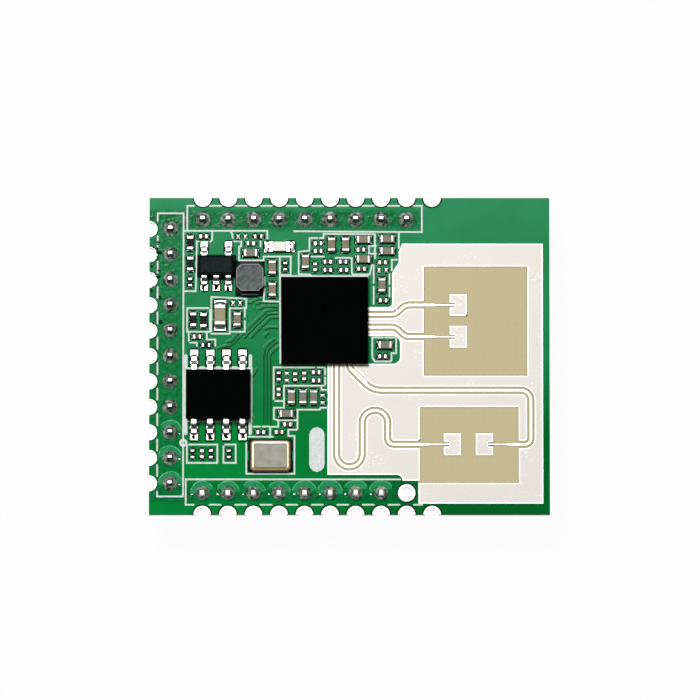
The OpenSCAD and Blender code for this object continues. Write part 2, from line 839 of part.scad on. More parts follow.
module receive_antenna_lower() {
    color("#f4f1ea") antenna(rx_route_start(-1), rx_steps(-1));
}

module transmit_antenna_left() {
    color("#f4f1ea") antenna(tx_left_start, tx_left_steps);
}

module transmit_antenna_right() {
    color("#f4f1ea") antenna(tx_right_start, tx_right_steps);
}

module left_half_hole_plating() {
    color("#e4e2dc") half_hole_walls(left_half_holes, -90);
}

module top_half_hole_plating() {
    color("#e4e2dc") half_hole_walls(top_half_holes, 180);
}

module bottom_half_hole_plating() {
    color("#e4e2dc") half_hole_walls(bottom_half_holes, 0);
}

module pin_hole_plating() {
    color("#e4e2dc")
        for (p = pin_holes)
            translate([p[0], p[1], board_z])
                plated_wall(hole_d / 2, barrel_t, ring_d / 2, 360, drill_taper);
}

module chip_pads() {
    color("#d9d9d6") layer(copper_z, mask_t) chip_pad_shapes();
}

module passive_pads() {
    color("#d9d9d6") layer(copper_z, mask_t) passive_pad_shapes();
}

// Sub-parts: the pin rows

module left_header_strip() {
    color("#1c1c1e") header_strip(left_row, 90);
}

module top_header_strip() {
    color("#1c1c1e") header_strip(top_row, 0);
}

module bottom_header_strip() {
    color("#1c1c1e") header_strip(bottom_row, 0);
}

module left_header_pins() {
    color("#c9c4b8") header_pins(left_row);
}

module top_header_pins() {
    color("#c9c4b8") header_pins(top_row);
}

module bottom_header_pins() {
    color("#c9c4b8") header_pins(bottom_row);
}

module left_solder_joints() {
    color("#8b8c88") solder_joints(left_row);
}

module top_solder_joints() {
    color("#8b8c88") solder_joints(top_row);
}

module bottom_solder_joints() {
    color("#8b8c88") solder_joints(bottom_row);
}

// Sub-parts: the chips

module radar_chip_cap() {
    x = chip_side / 2;
    h = chip_cap_h;
    b = chip_bevel;
    profile = [[-x, 0], [x, 0], [x, h - b], [x - b, h], [b - x, h], [-x, h - b]];
    color("#0b0b0c")
        translate([chip_at[0], chip_at[1], top_z + ball_h + chip_substrate_h])
            crossed(profile, profile, 2 * chip_side);
}

module radar_chip_substrate() {
    color("#2b3a2c")
        translate([chip_at[0], chip_at[1], 0])
            layer(top_z + ball_h, chip_substrate_h) square(chip_side, center = true);
}

module radar_chip_balls() {
    neck_r = sqrt(ball_d * ball_d - ball_h * ball_h) / 2;
    ball_r = ball_d / 2;
    profile = [[0, 0], [neck_r, 0], [ball_r, ball_h / 2], [neck_r, ball_h], [0, ball_h]];
    first = -ball_pitch * (ball_rows - 1) / 2;
    color("#b9bab8")
        translate([chip_at[0], chip_at[1], top_z])
            for (i = [0 : ball_rows - 1], j = [0 : ball_rows - 1])
                translate([first + i * ball_pitch, first + j * ball_pitch, 0])
                    rotate_extrude() polygon(profile);
}

module memory_chip_body() {
    color("#0b0b0c")
        translate([flash_at[0], flash_at[1], top_z + flash_gap])
            moulded_body(flash_l, flash_w, flash_h, flash_lead_t);
}

module memory_chip_leads() {
    color("#d9d9d6")
        translate([flash_at[0], flash_at[1], top_z])
            gull_wings(flash_leads, flash_w, flash_span, flash_h, flash_gap,
                flash_lead_w, flash_lead_t, flash_foot);
}

module regulator_body() {
    color("#17201f")
        translate([reg_at[0], reg_at[1], top_z + reg_gap]) moulded_body(reg_l, reg_w, reg_h, reg_lead_t);
}

module regulator_leads() {
    color("#d9d9d6")
        translate([reg_at[0], reg_at[1], top_z])
            gull_wings(reg_leads, reg_w, reg_span, reg_h, reg_gap, reg_lead_w, reg_lead_t, reg_foot);
}

// Sub-parts: inductor, crystal and lamp

module coil_waist() {
    bevelled(coil_l - 2 * coil_groove, coil_w - 2 * coil_groove, coil_corner / 2);
}

module inductor_core() {
    low = top_z + coil_terminal_t;
    color("#646a68")
        translate([coil_at[0], coil_at[1], 0]) {
            layer(low, coil_flange_h) bevelled(coil_l, coil_w + 2 * coil_step, coil_corner);
            layer(low + coil_flange_h + coil_winding_h, coil_flange_h)
                bevelled(coil_l, coil_w, coil_corner);
            layer(low + coil_flange_h, coil_winding_h) coil_waist();
        }
}

module inductor_winding() {
    color("#3a3532")
        translate([coil_at[0], coil_at[1], 0])
            layer(top_z + coil_terminal_t + coil_flange_h, coil_winding_h)
                difference() {
                    bevelled(coil_l - 2 * coil_setback, coil_w - 2 * coil_setback, coil_corner);
                    coil_waist();
                }
}

module inductor_terminals() {
    color("#d9d9d6")
        translate([coil_at[0], coil_at[1], 0]) layer(top_z, coil_terminal_t) coil_terminal_shapes(0);
}

module crystal_base() {
    color("#4a4038")
        translate([crystal_at[0], crystal_at[1], 0])
            layer(top_z + crystal_pad_t, crystal_base_h) crystal_outline();
}

module crystal_seal_ring() {
    color("#dec896")
        translate([crystal_at[0], crystal_at[1], 0])
            layer(top_z + crystal_pad_t + crystal_base_h, crystal_ring_h)
                difference() {
                    crystal_plate(crystal_ring_set);
                    crystal_plate(crystal_ring_set + crystal_ring_w);
                }
}

module crystal_lid() {
    color("#b0aa9e")
        translate([crystal_at[0], crystal_at[1], 0])
            layer(top_z + crystal_pad_t + crystal_base_h + crystal_ring_h, crystal_lid_h)
                crystal_plate(crystal_ring_set + crystal_lid_set);
}

module crystal_terminals() {
    color("#dec896")
        translate([crystal_at[0], crystal_at[1], 0])
            layer(top_z, crystal_pad_t)
                intersection() {
                    crystal_outline();
                    crystal_terminal_shapes(0);
                }
}

module lamp_core() {
    t = led_terminal_t;
    translate([t - led_l / 2, t - led_w / 2, top_z + t])
        cube([led_l - 2 * t, led_w - 2 * t, led_base_h - 2 * t]);
}

module lamp_base() {
    color("#f2efe6") translate([led_at[0], led_at[1], 0]) lamp_core();
}

module lamp_lens() {
    t = led_terminal_t;
    color("#f7f4e4")
        translate([led_at[0], led_at[1], 0])
            layer(top_z + led_base_h - t, led_lens_h) square([led_lens_l, led_w - 2 * t], center = true);
}

module lamp_terminals() {
    color("#e4e2dc")
        translate([led_at[0], led_at[1], 0])
            difference() {
                for (x = [-led_l / 2, led_l / 2 - led_terminal])
                    translate([x, -led_w / 2, top_z]) cube([led_terminal, led_w, led_base_h]);
                lamp_core();
            }
}

// Sub-parts: chip capacitors and resistors

module large_capacitor_body() {
    color("#b2a582") at_places(large_cap_places) chip_core(large_cap_l, large_cap_w, large_cap_h);
}

module large_capacitor_terminals() {
    color("#e4e2dc")
        at_places(large_cap_places) end_bands(large_cap_l, large_cap_w, large_cap_h, large_cap_band);
}

module brown_capacitor_bodies() {
    color("#968676") at_places(brown_cap_places) chip_core(cap_l, cap_w, cap_h);
}

module grey_capacitor_bodies() {
    color("#96968c") at_places(grey_cap_places) chip_core(cap_l, cap_w, cap_h);
}

module capacitor_terminals() {
    color("#e4e2dc")
        at_places(concat(brown_cap_places, grey_cap_places)) end_bands(cap_l, cap_w, cap_h, cap_band);
}

module small_capacitor_bodies() {
    color("#7d7066") at_places(small_cap_places) chip_core(small_cap_l, small_cap_w, small_cap_h);
}

module small_capacitor_terminals() {
    color("#e4e2dc")
        at_places(small_cap_places) end_bands(small_cap_l, small_cap_w, small_cap_h, small_cap_band);
}

module resistor_bodies() {
    color("#eceae4") at_places(res_places) chip_core(res_l, res_w, res_h);
}

module resistor_overcoats() {
    color("#141414") at_places(res_places) overcoat(res_l, res_w, res_h, res_band);
}

module resistor_terminals() {
    color("#e4e2dc") at_places(res_places) end_bands(res_l, res_w, res_h, res_band);
}

module small_resistor_bodies() {
    color("#eceae4") at_places(small_res_places) chip_core(small_res_l, small_res_w, small_res_h);
}

module small_resistor_overcoats() {
    color("#141414")
        at_places(small_res_places) overcoat(small_res_l, small_res_w, small_res_h, small_res_band);
}

module small_resistor_terminals() {
    color("#e4e2dc")
        at_places(small_res_places) end_bands(small_res_l, small_res_w, small_res_h, small_res_band);
}

pin_hole_plating();
laminate_core();
top_solder_mask();
bottom_solder_mask();
antenna_ground_plane();
receive_antenna_upper();
receive_antenna_lower();
transmit_antenna_left();
transmit_antenna_right();
left_half_hole_plating();
top_half_hole_plating();
bottom_half_hole_plating();
left_header_strip();
top_header_strip();
bottom_header_strip();
left_header_pins();
top_header_pins();
bottom_header_pins();
left_solder_joints();
top_solder_joints();
bottom_solder_joints();
radar_chip_cap();
radar_chip_substrate();
radar_chip_balls();
memory_chip_body();
memory_chip_leads();
regulator_body();
regulator_leads();
inductor_core();
inductor_winding();
inductor_terminals();
crystal_base();
crystal_seal_ring();
crystal_lid();
crystal_terminals();
lamp_base();
lamp_lens();
lamp_terminals();
large_capacitor_body();
large_capacitor_terminals();
brown_capacitor_bodies();
grey_capacitor_bodies();
capacitor_terminals();
small_capacitor_bodies();
small_capacitor_terminals();
resistor_bodies();
resistor_overcoats();
resistor_terminals();
small_resistor_bodies();
small_resistor_overcoats();
small_resistor_terminals();
chip_pads();
passive_pads();
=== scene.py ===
# %% [markdown]
# # A presence radar sensor
# This lesson dresses a small radar module: a green circuit board with bare silvered antennas,
# a blacked-out radar chip and rows of pins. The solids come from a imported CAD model, which is
# loaded first and never moved. What is added here is what a plain solid can't carry: the
# finish of each surface, the white print, the relief of the copper under the mask and the
# solder at the parts' ends. The part is loaded before anything else, so that every later
# piece can take its place and size from it.

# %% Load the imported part
import math
import random

import bmesh
import bpy
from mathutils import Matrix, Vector


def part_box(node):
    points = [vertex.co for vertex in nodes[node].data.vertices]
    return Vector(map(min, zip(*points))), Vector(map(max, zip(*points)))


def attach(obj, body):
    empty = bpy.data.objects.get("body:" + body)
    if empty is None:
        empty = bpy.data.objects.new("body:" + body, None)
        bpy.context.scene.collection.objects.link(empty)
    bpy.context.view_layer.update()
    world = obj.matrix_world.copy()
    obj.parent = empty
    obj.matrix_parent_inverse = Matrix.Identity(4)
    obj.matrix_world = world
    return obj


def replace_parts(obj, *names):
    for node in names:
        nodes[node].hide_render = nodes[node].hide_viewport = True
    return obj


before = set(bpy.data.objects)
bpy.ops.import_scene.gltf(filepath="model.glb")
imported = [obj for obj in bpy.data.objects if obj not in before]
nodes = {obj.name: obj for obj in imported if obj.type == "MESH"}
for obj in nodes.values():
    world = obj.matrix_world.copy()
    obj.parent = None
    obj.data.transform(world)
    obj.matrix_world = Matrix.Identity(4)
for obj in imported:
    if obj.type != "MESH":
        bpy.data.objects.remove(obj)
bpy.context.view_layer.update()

# %% [markdown]
# ## Units, colours and nodes
# Board makers think in millimetres and Blender in metres, so one factor joins the two. Colours
# are written as sRGB hex values, the way a colour picker shows them, and shaders want linear
# light, so one function turns them. One more function adds any shader node with its settings
# and links, which keeps each finish down to a few readable lines.

# %% Small helpers
MM = 0.001


def per_mm(size):
    """Texture scale at which one feature is about this many millimetres across."""
    return 1 / (size * MM)


def to_linear(colour):
    """Linear RGBA of an sRGB hex colour."""
    channels = [int(colour[k:k + 2], 16) / 255 for k in (1, 3, 5)]
    return [c / 12.92 if c <= 0.04045 else ((c + 0.055) / 1.055) ** 2.4 for c in channels] + [1]


def in_use(sockets, name=None):
    """The first socket of a name, or of any name, that its node's settings leave in use."""
    return next(s for s in sockets if s.enabled and name in (None, s.name))


def feed(tree, node, inputs):
    """Gives each input, by name or place, a link from a node or socket, a hex colour or a plain value."""
    for name, value in inputs.items():
        socket = node.inputs[name] if isinstance(name, int) else in_use(node.inputs, name)
        if isinstance(value, bpy.types.Node):
            value = in_use(value.outputs)
        if isinstance(value, bpy.types.NodeSocket):
            tree.links.new(value, socket)
        else:
            socket.default_value = to_linear(value) if isinstance(value, str) else value


def add_node(tree, kind, inputs=None, **settings):
    """Adds one shader node with its settings, and feeds its inputs."""
    node = tree.nodes.new("ShaderNode" + kind)
    for name, value in settings.items():
        setattr(node, name, value)
    feed(tree, node, inputs or {})
    return node


def start_finish(name, metallic, roughness, specular=0.5):
    """A new material with the values that hold all over its surface."""
    finish = bpy.data.materials.new(name)
    finish.use_nodes = True
    tree = finish.node_tree
    shader = tree.nodes["Principled BSDF"]
    feed(tree, shader, {"Metallic": metallic, "Roughness": roughness, "Specular IOR Level": specular})
    place = add_node(tree, "TexCoord").outputs["Object"]
    return finish, tree, shader, place


def dress(finish, *names):
    """Gives CAD solids a finish in place of the plain one they were packed with."""
    for name in names:
        for slot in nodes[name].material_slots:
            slot.material = finish
    print(finish.name, "on", len(names), "solids")


# %% [markdown]
# ## The board
# The green is solder mask: an epoxy ink that is flooded over the copper, exposed and cured. It
# dries glassy with a faint orange peel, and its tone shifts a little where it lies thicker. A
# picture could carry that, but a wide noise for the pools and a fine one for the peel do it at any
# size. A few greens that change slowly over the board are painted light, paler towards the lit upper
# edge and darker in the lower right corner. Along the pin rows flux dulls the ink.

# %% Green solder mask
BOARD_LOW, BOARD_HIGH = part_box("laminate_core")
MASK_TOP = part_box("top_solder_mask")[1].z
# Bands over which flux sets in, in millimetres from the board's middle, and its share behind them
SIDE_ROWS, LEFT_ROW = (9.7, 10.3, 1), (-12.9, -13.4, 0.7)
OUTER_STRIP, ROWS_END = (11.7, 11.2, 1), (6, 5, 0.55)


def epoxy_solder_mask():
    """Cured epoxy ink: saturated green, a thin gloss, and painted light that pales it towards the upper
    edge.
    """
    finish, tree, shader, place = start_finish("epoxy_solder_mask", 0, 0.15, 0.06)
    axes = add_node(tree, "SeparateXYZ", {"Vector": place}).outputs
    # Painted light: the green is paler along the upper edge, towards the soft box, and darker in the lower
    # right corner
    lower = add_node(tree, "MapRange", {"Value": axes["Y"], "From Min": -6 * MM, "From Max": 0})
    upper = add_node(tree, "MapRange", {"Value": axes["Y"], "From Min": 0, "From Max": BOARD_HIGH.y})
    east = add_node(tree, "MapRange", {"Value": axes["X"], "From Min": -6 * MM, "From Max": 6 * MM})
    corner = add_node(tree, "Mix", {"Factor": east, "A": "#00903e", "B": "#006c29"}, data_type="RGBA")
    middle = add_node(tree, "Mix", {"Factor": lower, "A": corner, "B": "#1d8e50"}, data_type="RGBA")
    painted_light_green = add_node(tree, "Mix", {"Factor": upper, "A": middle, "B": "#349a64"}, data_type="RGBA")
    # It lies a little thicker in pools of about 3 mm
    pools = add_node(tree, "TexNoise", {"Vector": place, "Scale": per_mm(3), "Detail": 3})
    thick = add_node(tree, "MapRange", {"Value": pools, "From Min": 0.4, "From Max": 0.7, "To Max": 0.15})
    plain = add_node(tree, "Mix", {"Factor": thick, "A": painted_light_green, "B": "#0b5a30"}, data_type="RGBA")
    # Orange peel of about 0.4 mm
    peel = add_node(tree, "TexNoise", {"Vector": place, "Scale": per_mm(0.4), "Detail": 2})
    bump = add_node(tree, "Bump", {"Height": peel, "Strength": 0.15, "Distance": 0.02 * MM})
    # Dried flux along the pin rows, in drops of about 0.35 mm
    across = add_node(tree, "Math", {0: axes["Y"]}, operation="ABSOLUTE")
    bands = [(across, SIDE_ROWS), (axes["X"], LEFT_ROW), (across, OUTER_STRIP), (axes["X"], ROWS_END)]
    side_rows, left_row, inside, pins_end = [
        add_node(tree, "MapRange", {"Value": way, "From Min": a * MM, "From Max": b * MM, "To Max": share})
        for way, (a, b, share) in bands]
    rows = add_node(tree, "Math", {0: side_rows, 1: left_row}, operation="MAXIMUM")
    near_pins = add_node(tree, "Math", {0: rows, 1: inside}, operation="MULTIPLY")
    soiled = add_node(tree, "Math", {0: near_pins, 1: pins_end}, operation="MULTIPLY")
    drops = add_node(tree, "TexNoise", {"Vector": place, "Scale": per_mm(0.35), "Detail": 3})
    flux = add_node(tree, "Bump", {
        "Height": drops, "Strength": soiled, "Distance": 0.06 * MM, "Normal": bump})
    # The same flux dulls the ink along the rows and stains it darker in patches
    wash = add_node(tree, "Math", {0: soiled, 1: 1.5}, operation="MULTIPLY")
    washed = add_node(tree, "Mix", {"Factor": wash, "A": plain, "B": "#007d41"}, data_type="RGBA")
    stain = add_node(tree, "MapRange", {"Value": drops, "From Min": 0.38, "From Max": 0.65})
    darkened = add_node(tree, "Math", {0: stain, 1: soiled}, operation="MULTIPLY")
    tone = add_node(tree, "Mix", {"Factor": darkened, "A": washed, "B": "#004a20"}, data_type="RGBA")
    feed(tree, shader, {"Base Color": tone, "Normal": flux})
    return finish


mask_finish = epoxy_solder_mask()
dress(mask_finish, "top_solder_mask", "bottom_solder_mask")

# %% [markdown]
# Several finishes are painted darker on upright faces than on level ones, as painted shade. A routed
# board edge is also a darker resin than the faces, and a bent lead is painted a dull grey where it drops.
# One small function gives that share.

# %% Level and steep faces
LEVEL_FROM, LEVEL_TO = 0.9, 0.985


def level_share(tree):
    """A factor that is 1 on level faces and 0 on steep ones."""
    facing = add_node(tree, "NewGeometry").outputs["Normal"]
    upright = add_node(tree, "SeparateXYZ", {"Vector": facing}).outputs["Z"]
    size = add_node(tree, "Math", {0: upright}, operation="ABSOLUTE")
    return add_node(tree, "MapRange", {"Value": size, "From Min": LEVEL_FROM, "From Max": LEVEL_TO})


# %% [markdown]
# Inside the antenna windows the laminate itself lies bare: glass cloth in pale tan resin. The
# cloth's two thread directions show as a barely visible weave, drawn here with two crossed
# wave textures. The pitch of real cloth is near 0.5 mm.

# %% Bare laminate
THREAD_PITCH = 0.5
# A wave texture repeats about every 0.31 units at scale 1
WAVE_REPEAT = 0.314


def glass_cloth_laminate():
    """Pressed glass cloth and resin: matt tan with a ghost of the weave."""
    finish, tree, shader, place = start_finish("glass_cloth_laminate", 0, 0.75, 0.2)
    threads = {"Vector": place, "Scale": WAVE_REPEAT * per_mm(THREAD_PITCH)}
    warp, weft = [
        add_node(tree, "TexWave", threads, bands_direction=way).outputs["Fac"] for way in ("X", "Y")]
    weave = add_node(tree, "Math", {0: warp, 1: weft}, operation="MULTIPLY")
    face = add_node(tree, "Mix", {"Factor": weave, "A": "#d6c99d", "B": "#d8cb9f"}, data_type="RGBA")
    # The routed edges of the board are painted darker than its faces: partly scorched resin, partly painted
    # shade
    tone = add_node(tree, "Mix", {"Factor": level_share(tree), "A": "#5c5a48", "B": face}, data_type="RGBA")
    bump = add_node(tree, "Bump", {"Height": weave, "Strength": 0.1, "Distance": 0.01 * MM})
    feed(tree, shader, {"Base Color": tone, "Normal": bump})
    return finish


dress(glass_cloth_laminate(), "laminate_core")

# %% [markdown]
# The antennas and the ground around them are copper with an immersion silver finish. Such a
# thin deposit keeps the grain of the copper, so it looks like satin white metal, with clouds in
# which the grain is coarser and whiter.

# %% Silvered copper
SILVERED = [
    "antenna_ground_plane", "receive_antenna_upper", "receive_antenna_lower",
    "transmit_antenna_left", "transmit_antenna_right",
]


def immersion_silver(name, roughness, low, high):
    """Silver deposited on etched copper: satin white with a few clouds of whiter grains."""
    finish, tree, shader, place = start_finish(name, 1, roughness)
    clouds = add_node(tree, "TexNoise", {"Vector": place, "Scale": per_mm(2.5), "Detail": 2})
    cloudy = add_node(tree, "MapRange", {"Value": clouds, "From Min": 0.5, "From Max": 0.65})
    # Grains of 0.16 mm: real ones are far finer and wouldn't show
    grain = add_node(tree, "TexNoise", {"Vector": place, "Scale": per_mm(0.16), "Detail": 2})
    sharp = add_node(tree, "MapRange", {"Value": grain, "From Min": 0.58, "From Max": 0.68})
    white = add_node(tree, "Math", {0: cloudy, 1: sharp}, operation="MULTIPLY")
    tone = add_node(tree, "Mix", {"Factor": white, "A": low, "B": high}, data_type="RGBA")
    bump = add_node(tree, "Bump", {"Height": grain, "Strength": 0.1, "Distance": 0.01 * MM})
    feed(tree, shader, {"Base Color": tone, "Normal": bump})
    return finish


dress(immersion_silver("immersion_silver", 0.68, "#e5e1da", "#faf8f4"), *SILVERED)
dress(
    immersion_silver("silvered_hole_wall", 0.6, "#f3f1ec", "#fdfcfa"),
    "left_half_hole_plating", "top_half_hole_plating", "bottom_half_hole_plating", "pin_hole_plating",
)

# %% [markdown]
# ## Metals
# Solder cools to a dull grey skin with brighter flow marks, tin plating is paler and smoother,
# and the crystal has a pale gold rim under a satin lid. All are metals, so their colour sits in
# the reflection, and noise in colour and bump gives each its grain.

# %% Solder and tin
# Gloss at the edge of a metal, spread of its tones about the middle of the noise, and strength of its bump
METAL_GLOSS, METAL_SPREAD, METAL_BUMP = 0.05, 0.15, 0.5


def grain_of(tree, place, size, tones, spread, strength, relief, detail=3):
    """Two tones in patches of a size in millimetres, and a bump of the same grain."""
    noise = add_node(tree, "TexNoise", {"Vector": place, "Scale": per_mm(size), "Detail": detail})
    share = add_node(tree, "MapRange", {"Value": noise, "From Min": 0.5 - spread, "From Max": 0.5 + spread})
    tone = add_node(tree, "Mix", {"Factor": share, "A": tones[0], "B": tones[1]}, data_type="RGBA")
    return tone, add_node(tree, "Bump", {"Height": noise, "Strength": strength, "Distance": relief * MM})


def mottled_metal(name, roughness, low, high, grain, relief, steep=None, metallic=1):
    """A metal with two tones in patches, and perhaps a third, painted shade on steep faces, where it is
    also no metal.
    """
    finish, tree, shader, place = start_finish(name, metallic, roughness, METAL_GLOSS)
    tone, bump = grain_of(tree, place, grain, (low, high), METAL_SPREAD, METAL_BUMP, relief)
    if steep:
        level = level_share(tree)
        tone = add_node(tree, "Mix", {"Factor": level, "A": steep, "B": tone}, data_type="RGBA")
        feed(tree, shader, {"Metallic": level})
    feed(tree, shader, {"Base Color": tone, "Normal": bump})
    return finish


# Hand-soldered joints: a half-matt oxide skin with dark flux and bright flow marks
solder_finish = mottled_metal("hand_soldered_joint", 0.38, "#4c4e47", "#f0f1ed", 0.3, 0.14, metallic=0.6)
# Solder paste molten in the oven: smoother and brighter than a hand joint
paste_finish = mottled_metal("reflowed_paste", 0.36, "#b4b5b1", "#e6e6e3", 0.2, 0.02)
dress(paste_finish, "radar_chip_balls")
# Reflowed tin on leads and end caps: pale, almost white, softly uneven; its steep faces are painted a dull
# grey as shade
tin_finish = mottled_metal("matt_tin_plate", 0.35, "#dededb", "#f6f6f4", 0.25, 0.01, "#7d7e7a")
dress(tin_finish, "memory_chip_leads", "regulator_leads", "lamp_terminals")
# Ends dipped in silver paste and barrel plated: greyer than a lead, rubbed dull in the barrel; steep faces
# painted darker as shade
end_finish = mottled_metal("barrel_plated_tin", 0.42, "#84857f", "#c4c4bf", 0.25, 0.01, "#74756f")
# Solder levelled on the pads: as pale as tin but smoother
pad_finish = mottled_metal("levelled_solder_pad", 0.36, "#d8d8d4", "#f6f6f3", 0.3, 0.01)
dress(pad_finish, "chip_pads", "passive_pads")
# Square brass wire, drawn and tinned
pin_finish = mottled_metal("tinned_brass_wire", 0.3, "#bab7ae", "#f0eee8", 0.15, 0.006)
# The same wire on the faces of its cut, painted dark green as shade and as the reflection of the board
cut_shade_finish = mottled_metal("cut_wire_painted_shade", 0.4, "#33463a", "#566c5e", 0.15, 0.01)
dress(pin_finish, "left_header_pins", "top_header_pins", "bottom_header_pins")
# Rolled nickel-iron lid, satin, its steep edges painted dark as shade
lid_finish = mottled_metal("rolled_nickel_iron", 0.6, "#8c8a7f", "#98968b", 0.6, 0.004, "#5d5a50")
dress(lid_finish, "crystal_lid")

# %% [markdown]
# The lid of the crystal is seam welded to a ring with a flash of gold over nickel. The ring is pale
# where it lies level; the tan where it slopes and the brown along its lower side are painted shade.

# %% Gold of the crystal
RING_LOW, RING_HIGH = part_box("crystal_seal_ring")
# Distances from the ring's lower side between which the brown of the painted shade ends
RING_SHADE_FROM, RING_SHADE_TO = 0.15 * MM, 0.35 * MM


def gold_flash():
    """Thin gold on nickel: pale and bright, with painted shade: brown along the lower side, tan on the
    slopes.
    """
    finish, tree, shader, place = start_finish("gold_flash", 1, 0.5)
    clouds = add_node(tree, "TexNoise", {"Vector": place, "Scale": per_mm(0.5), "Detail": 2})
    pale = add_node(tree, "Mix", {"Factor": clouds, "A": "#d8c698", "B": "#efe4c2"}, data_type="RGBA")
    # Painted shade: brown along the ring's lower side, fading out between two distances from it
    north = add_node(tree, "SeparateXYZ", {"Vector": place}).outputs["Y"]
    plain = add_node(tree, "MapRange", {
        "Value": north, "From Min": RING_LOW.y + RING_SHADE_FROM, "From Max": RING_LOW.y + RING_SHADE_TO})
    level = add_node(tree, "Mix", {"Factor": plain, "A": "#7d6d42", "B": pale}, data_type="RGBA")
    # Painted shade: tan on the steep faces
    tone = add_node(
        tree, "Mix", {"Factor": level_share(tree), "A": "#8d7444", "B": level}, data_type="RGBA")
    feed(tree, shader, {"Base Color": tone})
    return finish


gold_finish = gold_flash()
dress(gold_finish, "crystal_seal_ring", "crystal_terminals")

# %% [markdown]
# ## Moulded and fired pieces
# Chips are moulded from black epoxy, headers from black polyester, and capacitors, resistors
# and the crystal's base are fired ceramic. They are all fine-grained: a speckle of two near
# tones and a small bump tell them apart from painted metal. The two large chips are
# the blackest, under a matt paint that gives almost nothing back.

# %% Plastics and ceramics
# Real grit is finer than all the sizes below and wouldn't show, so it is drawn at 0.1 mm or more
SOLID_SPREAD, SOLID_BUMP = 0.2, 0.4


def speckled_solid(name, roughness, low, high, grain, relief, specular=0.5):
    """A non-metal with a speckle of two tones and a grit of the same size, in millimetres."""
    finish, tree, shader, place = start_finish(name, 0, roughness, specular)
    tone, bump = grain_of(tree, place, grain, (low, high), SOLID_SPREAD, SOLID_BUMP, relief)
    feed(tree, shader, {"Base Color": tone, "Normal": bump})
    return finish


# The values of a speckled solid in its order, and then the solids that have the finish
MOULDED_AND_FIRED = [
    # Absorbing black paint over epoxy mould: no visible gloss
    ("blackout_paint", 0.9, "#010202", "#030504", 0.3, 0.004, 0.02, ["radar_chip_cap", "memory_chip_body"]),
    # Laminate carrier under the radar chip: dark green, half matt
    ("dark_carrier_laminate", 0.5, "#1e2a1f", "#2b3a2c", 0.3, 0.004, 0.5, ["radar_chip_substrate"]),
    # Epoxy moulding compound as it leaves the mould: charcoal with fine sand
    ("epoxy_mould_compound", 0.6, "#0f1819", "#1f2b2d", 0.15, 0.02, 0.06, ["regulator_body"]),
    # Glass-filled polyester of the header strips: black with a dull sheen
    ("filled_polyester", 0.45, "#121213", "#1e1e20", 0.3, 0.01, 0.5,
     ["left_header_strip", "top_header_strip", "bottom_header_strip"]),
    # Enamelled wire under dark resin
    ("resin_coated_winding", 0.5, "#241f1c", "#3a3029", 0.2, 0.02, 0.5, ["inductor_winding"]),
    # Black alumina base of the crystal: dark brown and matt
    ("black_alumina", 0.6, "#2b2520", "#4a4038", 0.2, 0.006, 0.5, ["crystal_base"]),
    # White reflector plastic and milky resin of the lamp
    ("white_reflector_plastic", 0.5, "#e6e1d3", "#f6f3ea", 0.3, 0.006, 0.5, ["lamp_base"]),
    ("milky_lens_resin", 0.25, "#efe9d2", "#fbf8ec", 0.3, 0.006, 0.5, ["lamp_lens"]),
    # Barium titanate capacitors, each body fired to its own shade
    ("tan_titanate", 0.5, "#989273", "#aba484", 0.12, 0.008, 0.3, ["large_capacitor_body"]),
    ("brown_titanate", 0.5, "#7c705f", "#978a72", 0.12, 0.008, 0.3, ["brown_capacitor_bodies"]),
    ("dark_titanate", 0.5, "#43352c", "#66574a", 0.12, 0.008, 0.2, ["small_capacitor_bodies"]),
    ("grey_titanate", 0.5, "#747165", "#8b887a", 0.12, 0.008, 0.3, ["grey_capacitor_bodies"]),
    # White alumina of the resistors under a black glass glaze
    ("white_alumina", 0.6, "#dcd9d0", "#eceae4", 0.15, 0.006, 0.5,
     ["resistor_bodies", "small_resistor_bodies"]),
    ("black_glass_glaze", 0.35, "#05070a", "#0c1013", 0.2, 0.006, 0.06,
     ["resistor_overcoats", "small_resistor_overcoats"]),
]
for *look, solids in MOULDED_AND_FIRED:
    dress(speckled_solid(*look), *solids)

# %% [markdown]
# The inductor is a bobbin of sintered ferrite. Its upper flange is ground flat, and the marks of the
# wheel run slantwise over it: a noise stretched along a turned axis. Below the upper flange the lower
# flange lies in its shadow, and that shade is painted: the colour goes over into black.

# %% Ground ferrite
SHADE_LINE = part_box("inductor_winding")[1].z
GRIND_ANGLE, GRIND_STRETCH = math.radians(40), 2.5


def ground_ferrite():
    """Ferrite ground with a coarse wheel: grey with slanting marks, painted black below the upper flange as
    shade.
    """
    finish, tree, shader, place = start_finish("ground_ferrite", 0, 0.6, 0.3)
    turned = add_node(tree, "Mapping", {
        "Vector": place, "Rotation": (0, 0, GRIND_ANGLE), "Scale": (GRIND_STRETCH, 1, 1),
    }, vector_type="TEXTURE")
    # Marks of about 0.2 mm, coarser than real ones, which wouldn't show
    ground, bump = grain_of(
        tree, turned, 0.2, ("#3c4543", "#6e7673"), SOLID_SPREAD, SOLID_BUMP, 0.02, detail=4)
    # Painted shade: black below the upper flange
    height = add_node(tree, "SeparateXYZ", {"Vector": place}).outputs["Z"]
    above = add_node(tree, "Math", {0: height, 1: SHADE_LINE}, operation="GREATER_THAN")
    tone = add_node(tree, "Mix", {"Factor": above, "A": "#0b0d0d", "B": ground}, data_type="RGBA")
    feed(tree, shader, {"Base Color": tone, "Normal": bump})
    return finish


dress(ground_ferrite(), "inductor_core")
# Painted shade on solder: a dark matt skin, on the inductor's terminals and the fillets round the leads
painted_shade_solder = speckled_solid("painted_shade_solder", 0.8, "#121411", "#2e302c", 0.15, 0.01, 0.02)
dress(painted_shade_solder, "inductor_terminals")
print("painted shade up to", round(SHADE_LINE / MM, 2), "mm")

# %% [markdown]
# ## Soft edges
# No real edge is perfectly sharp, and the thin bright line along a rounded edge is what tells
# the eye that a small box is a thing. The solids' meshes come with their corners split, so a
# Weld joins them first and a Bevel then rounds each edge by a few hundredths of a millimetre.

# %% Round the edges of the bodies
WELD_REACH = 0.0005
SHARP_FROM = math.radians(35)


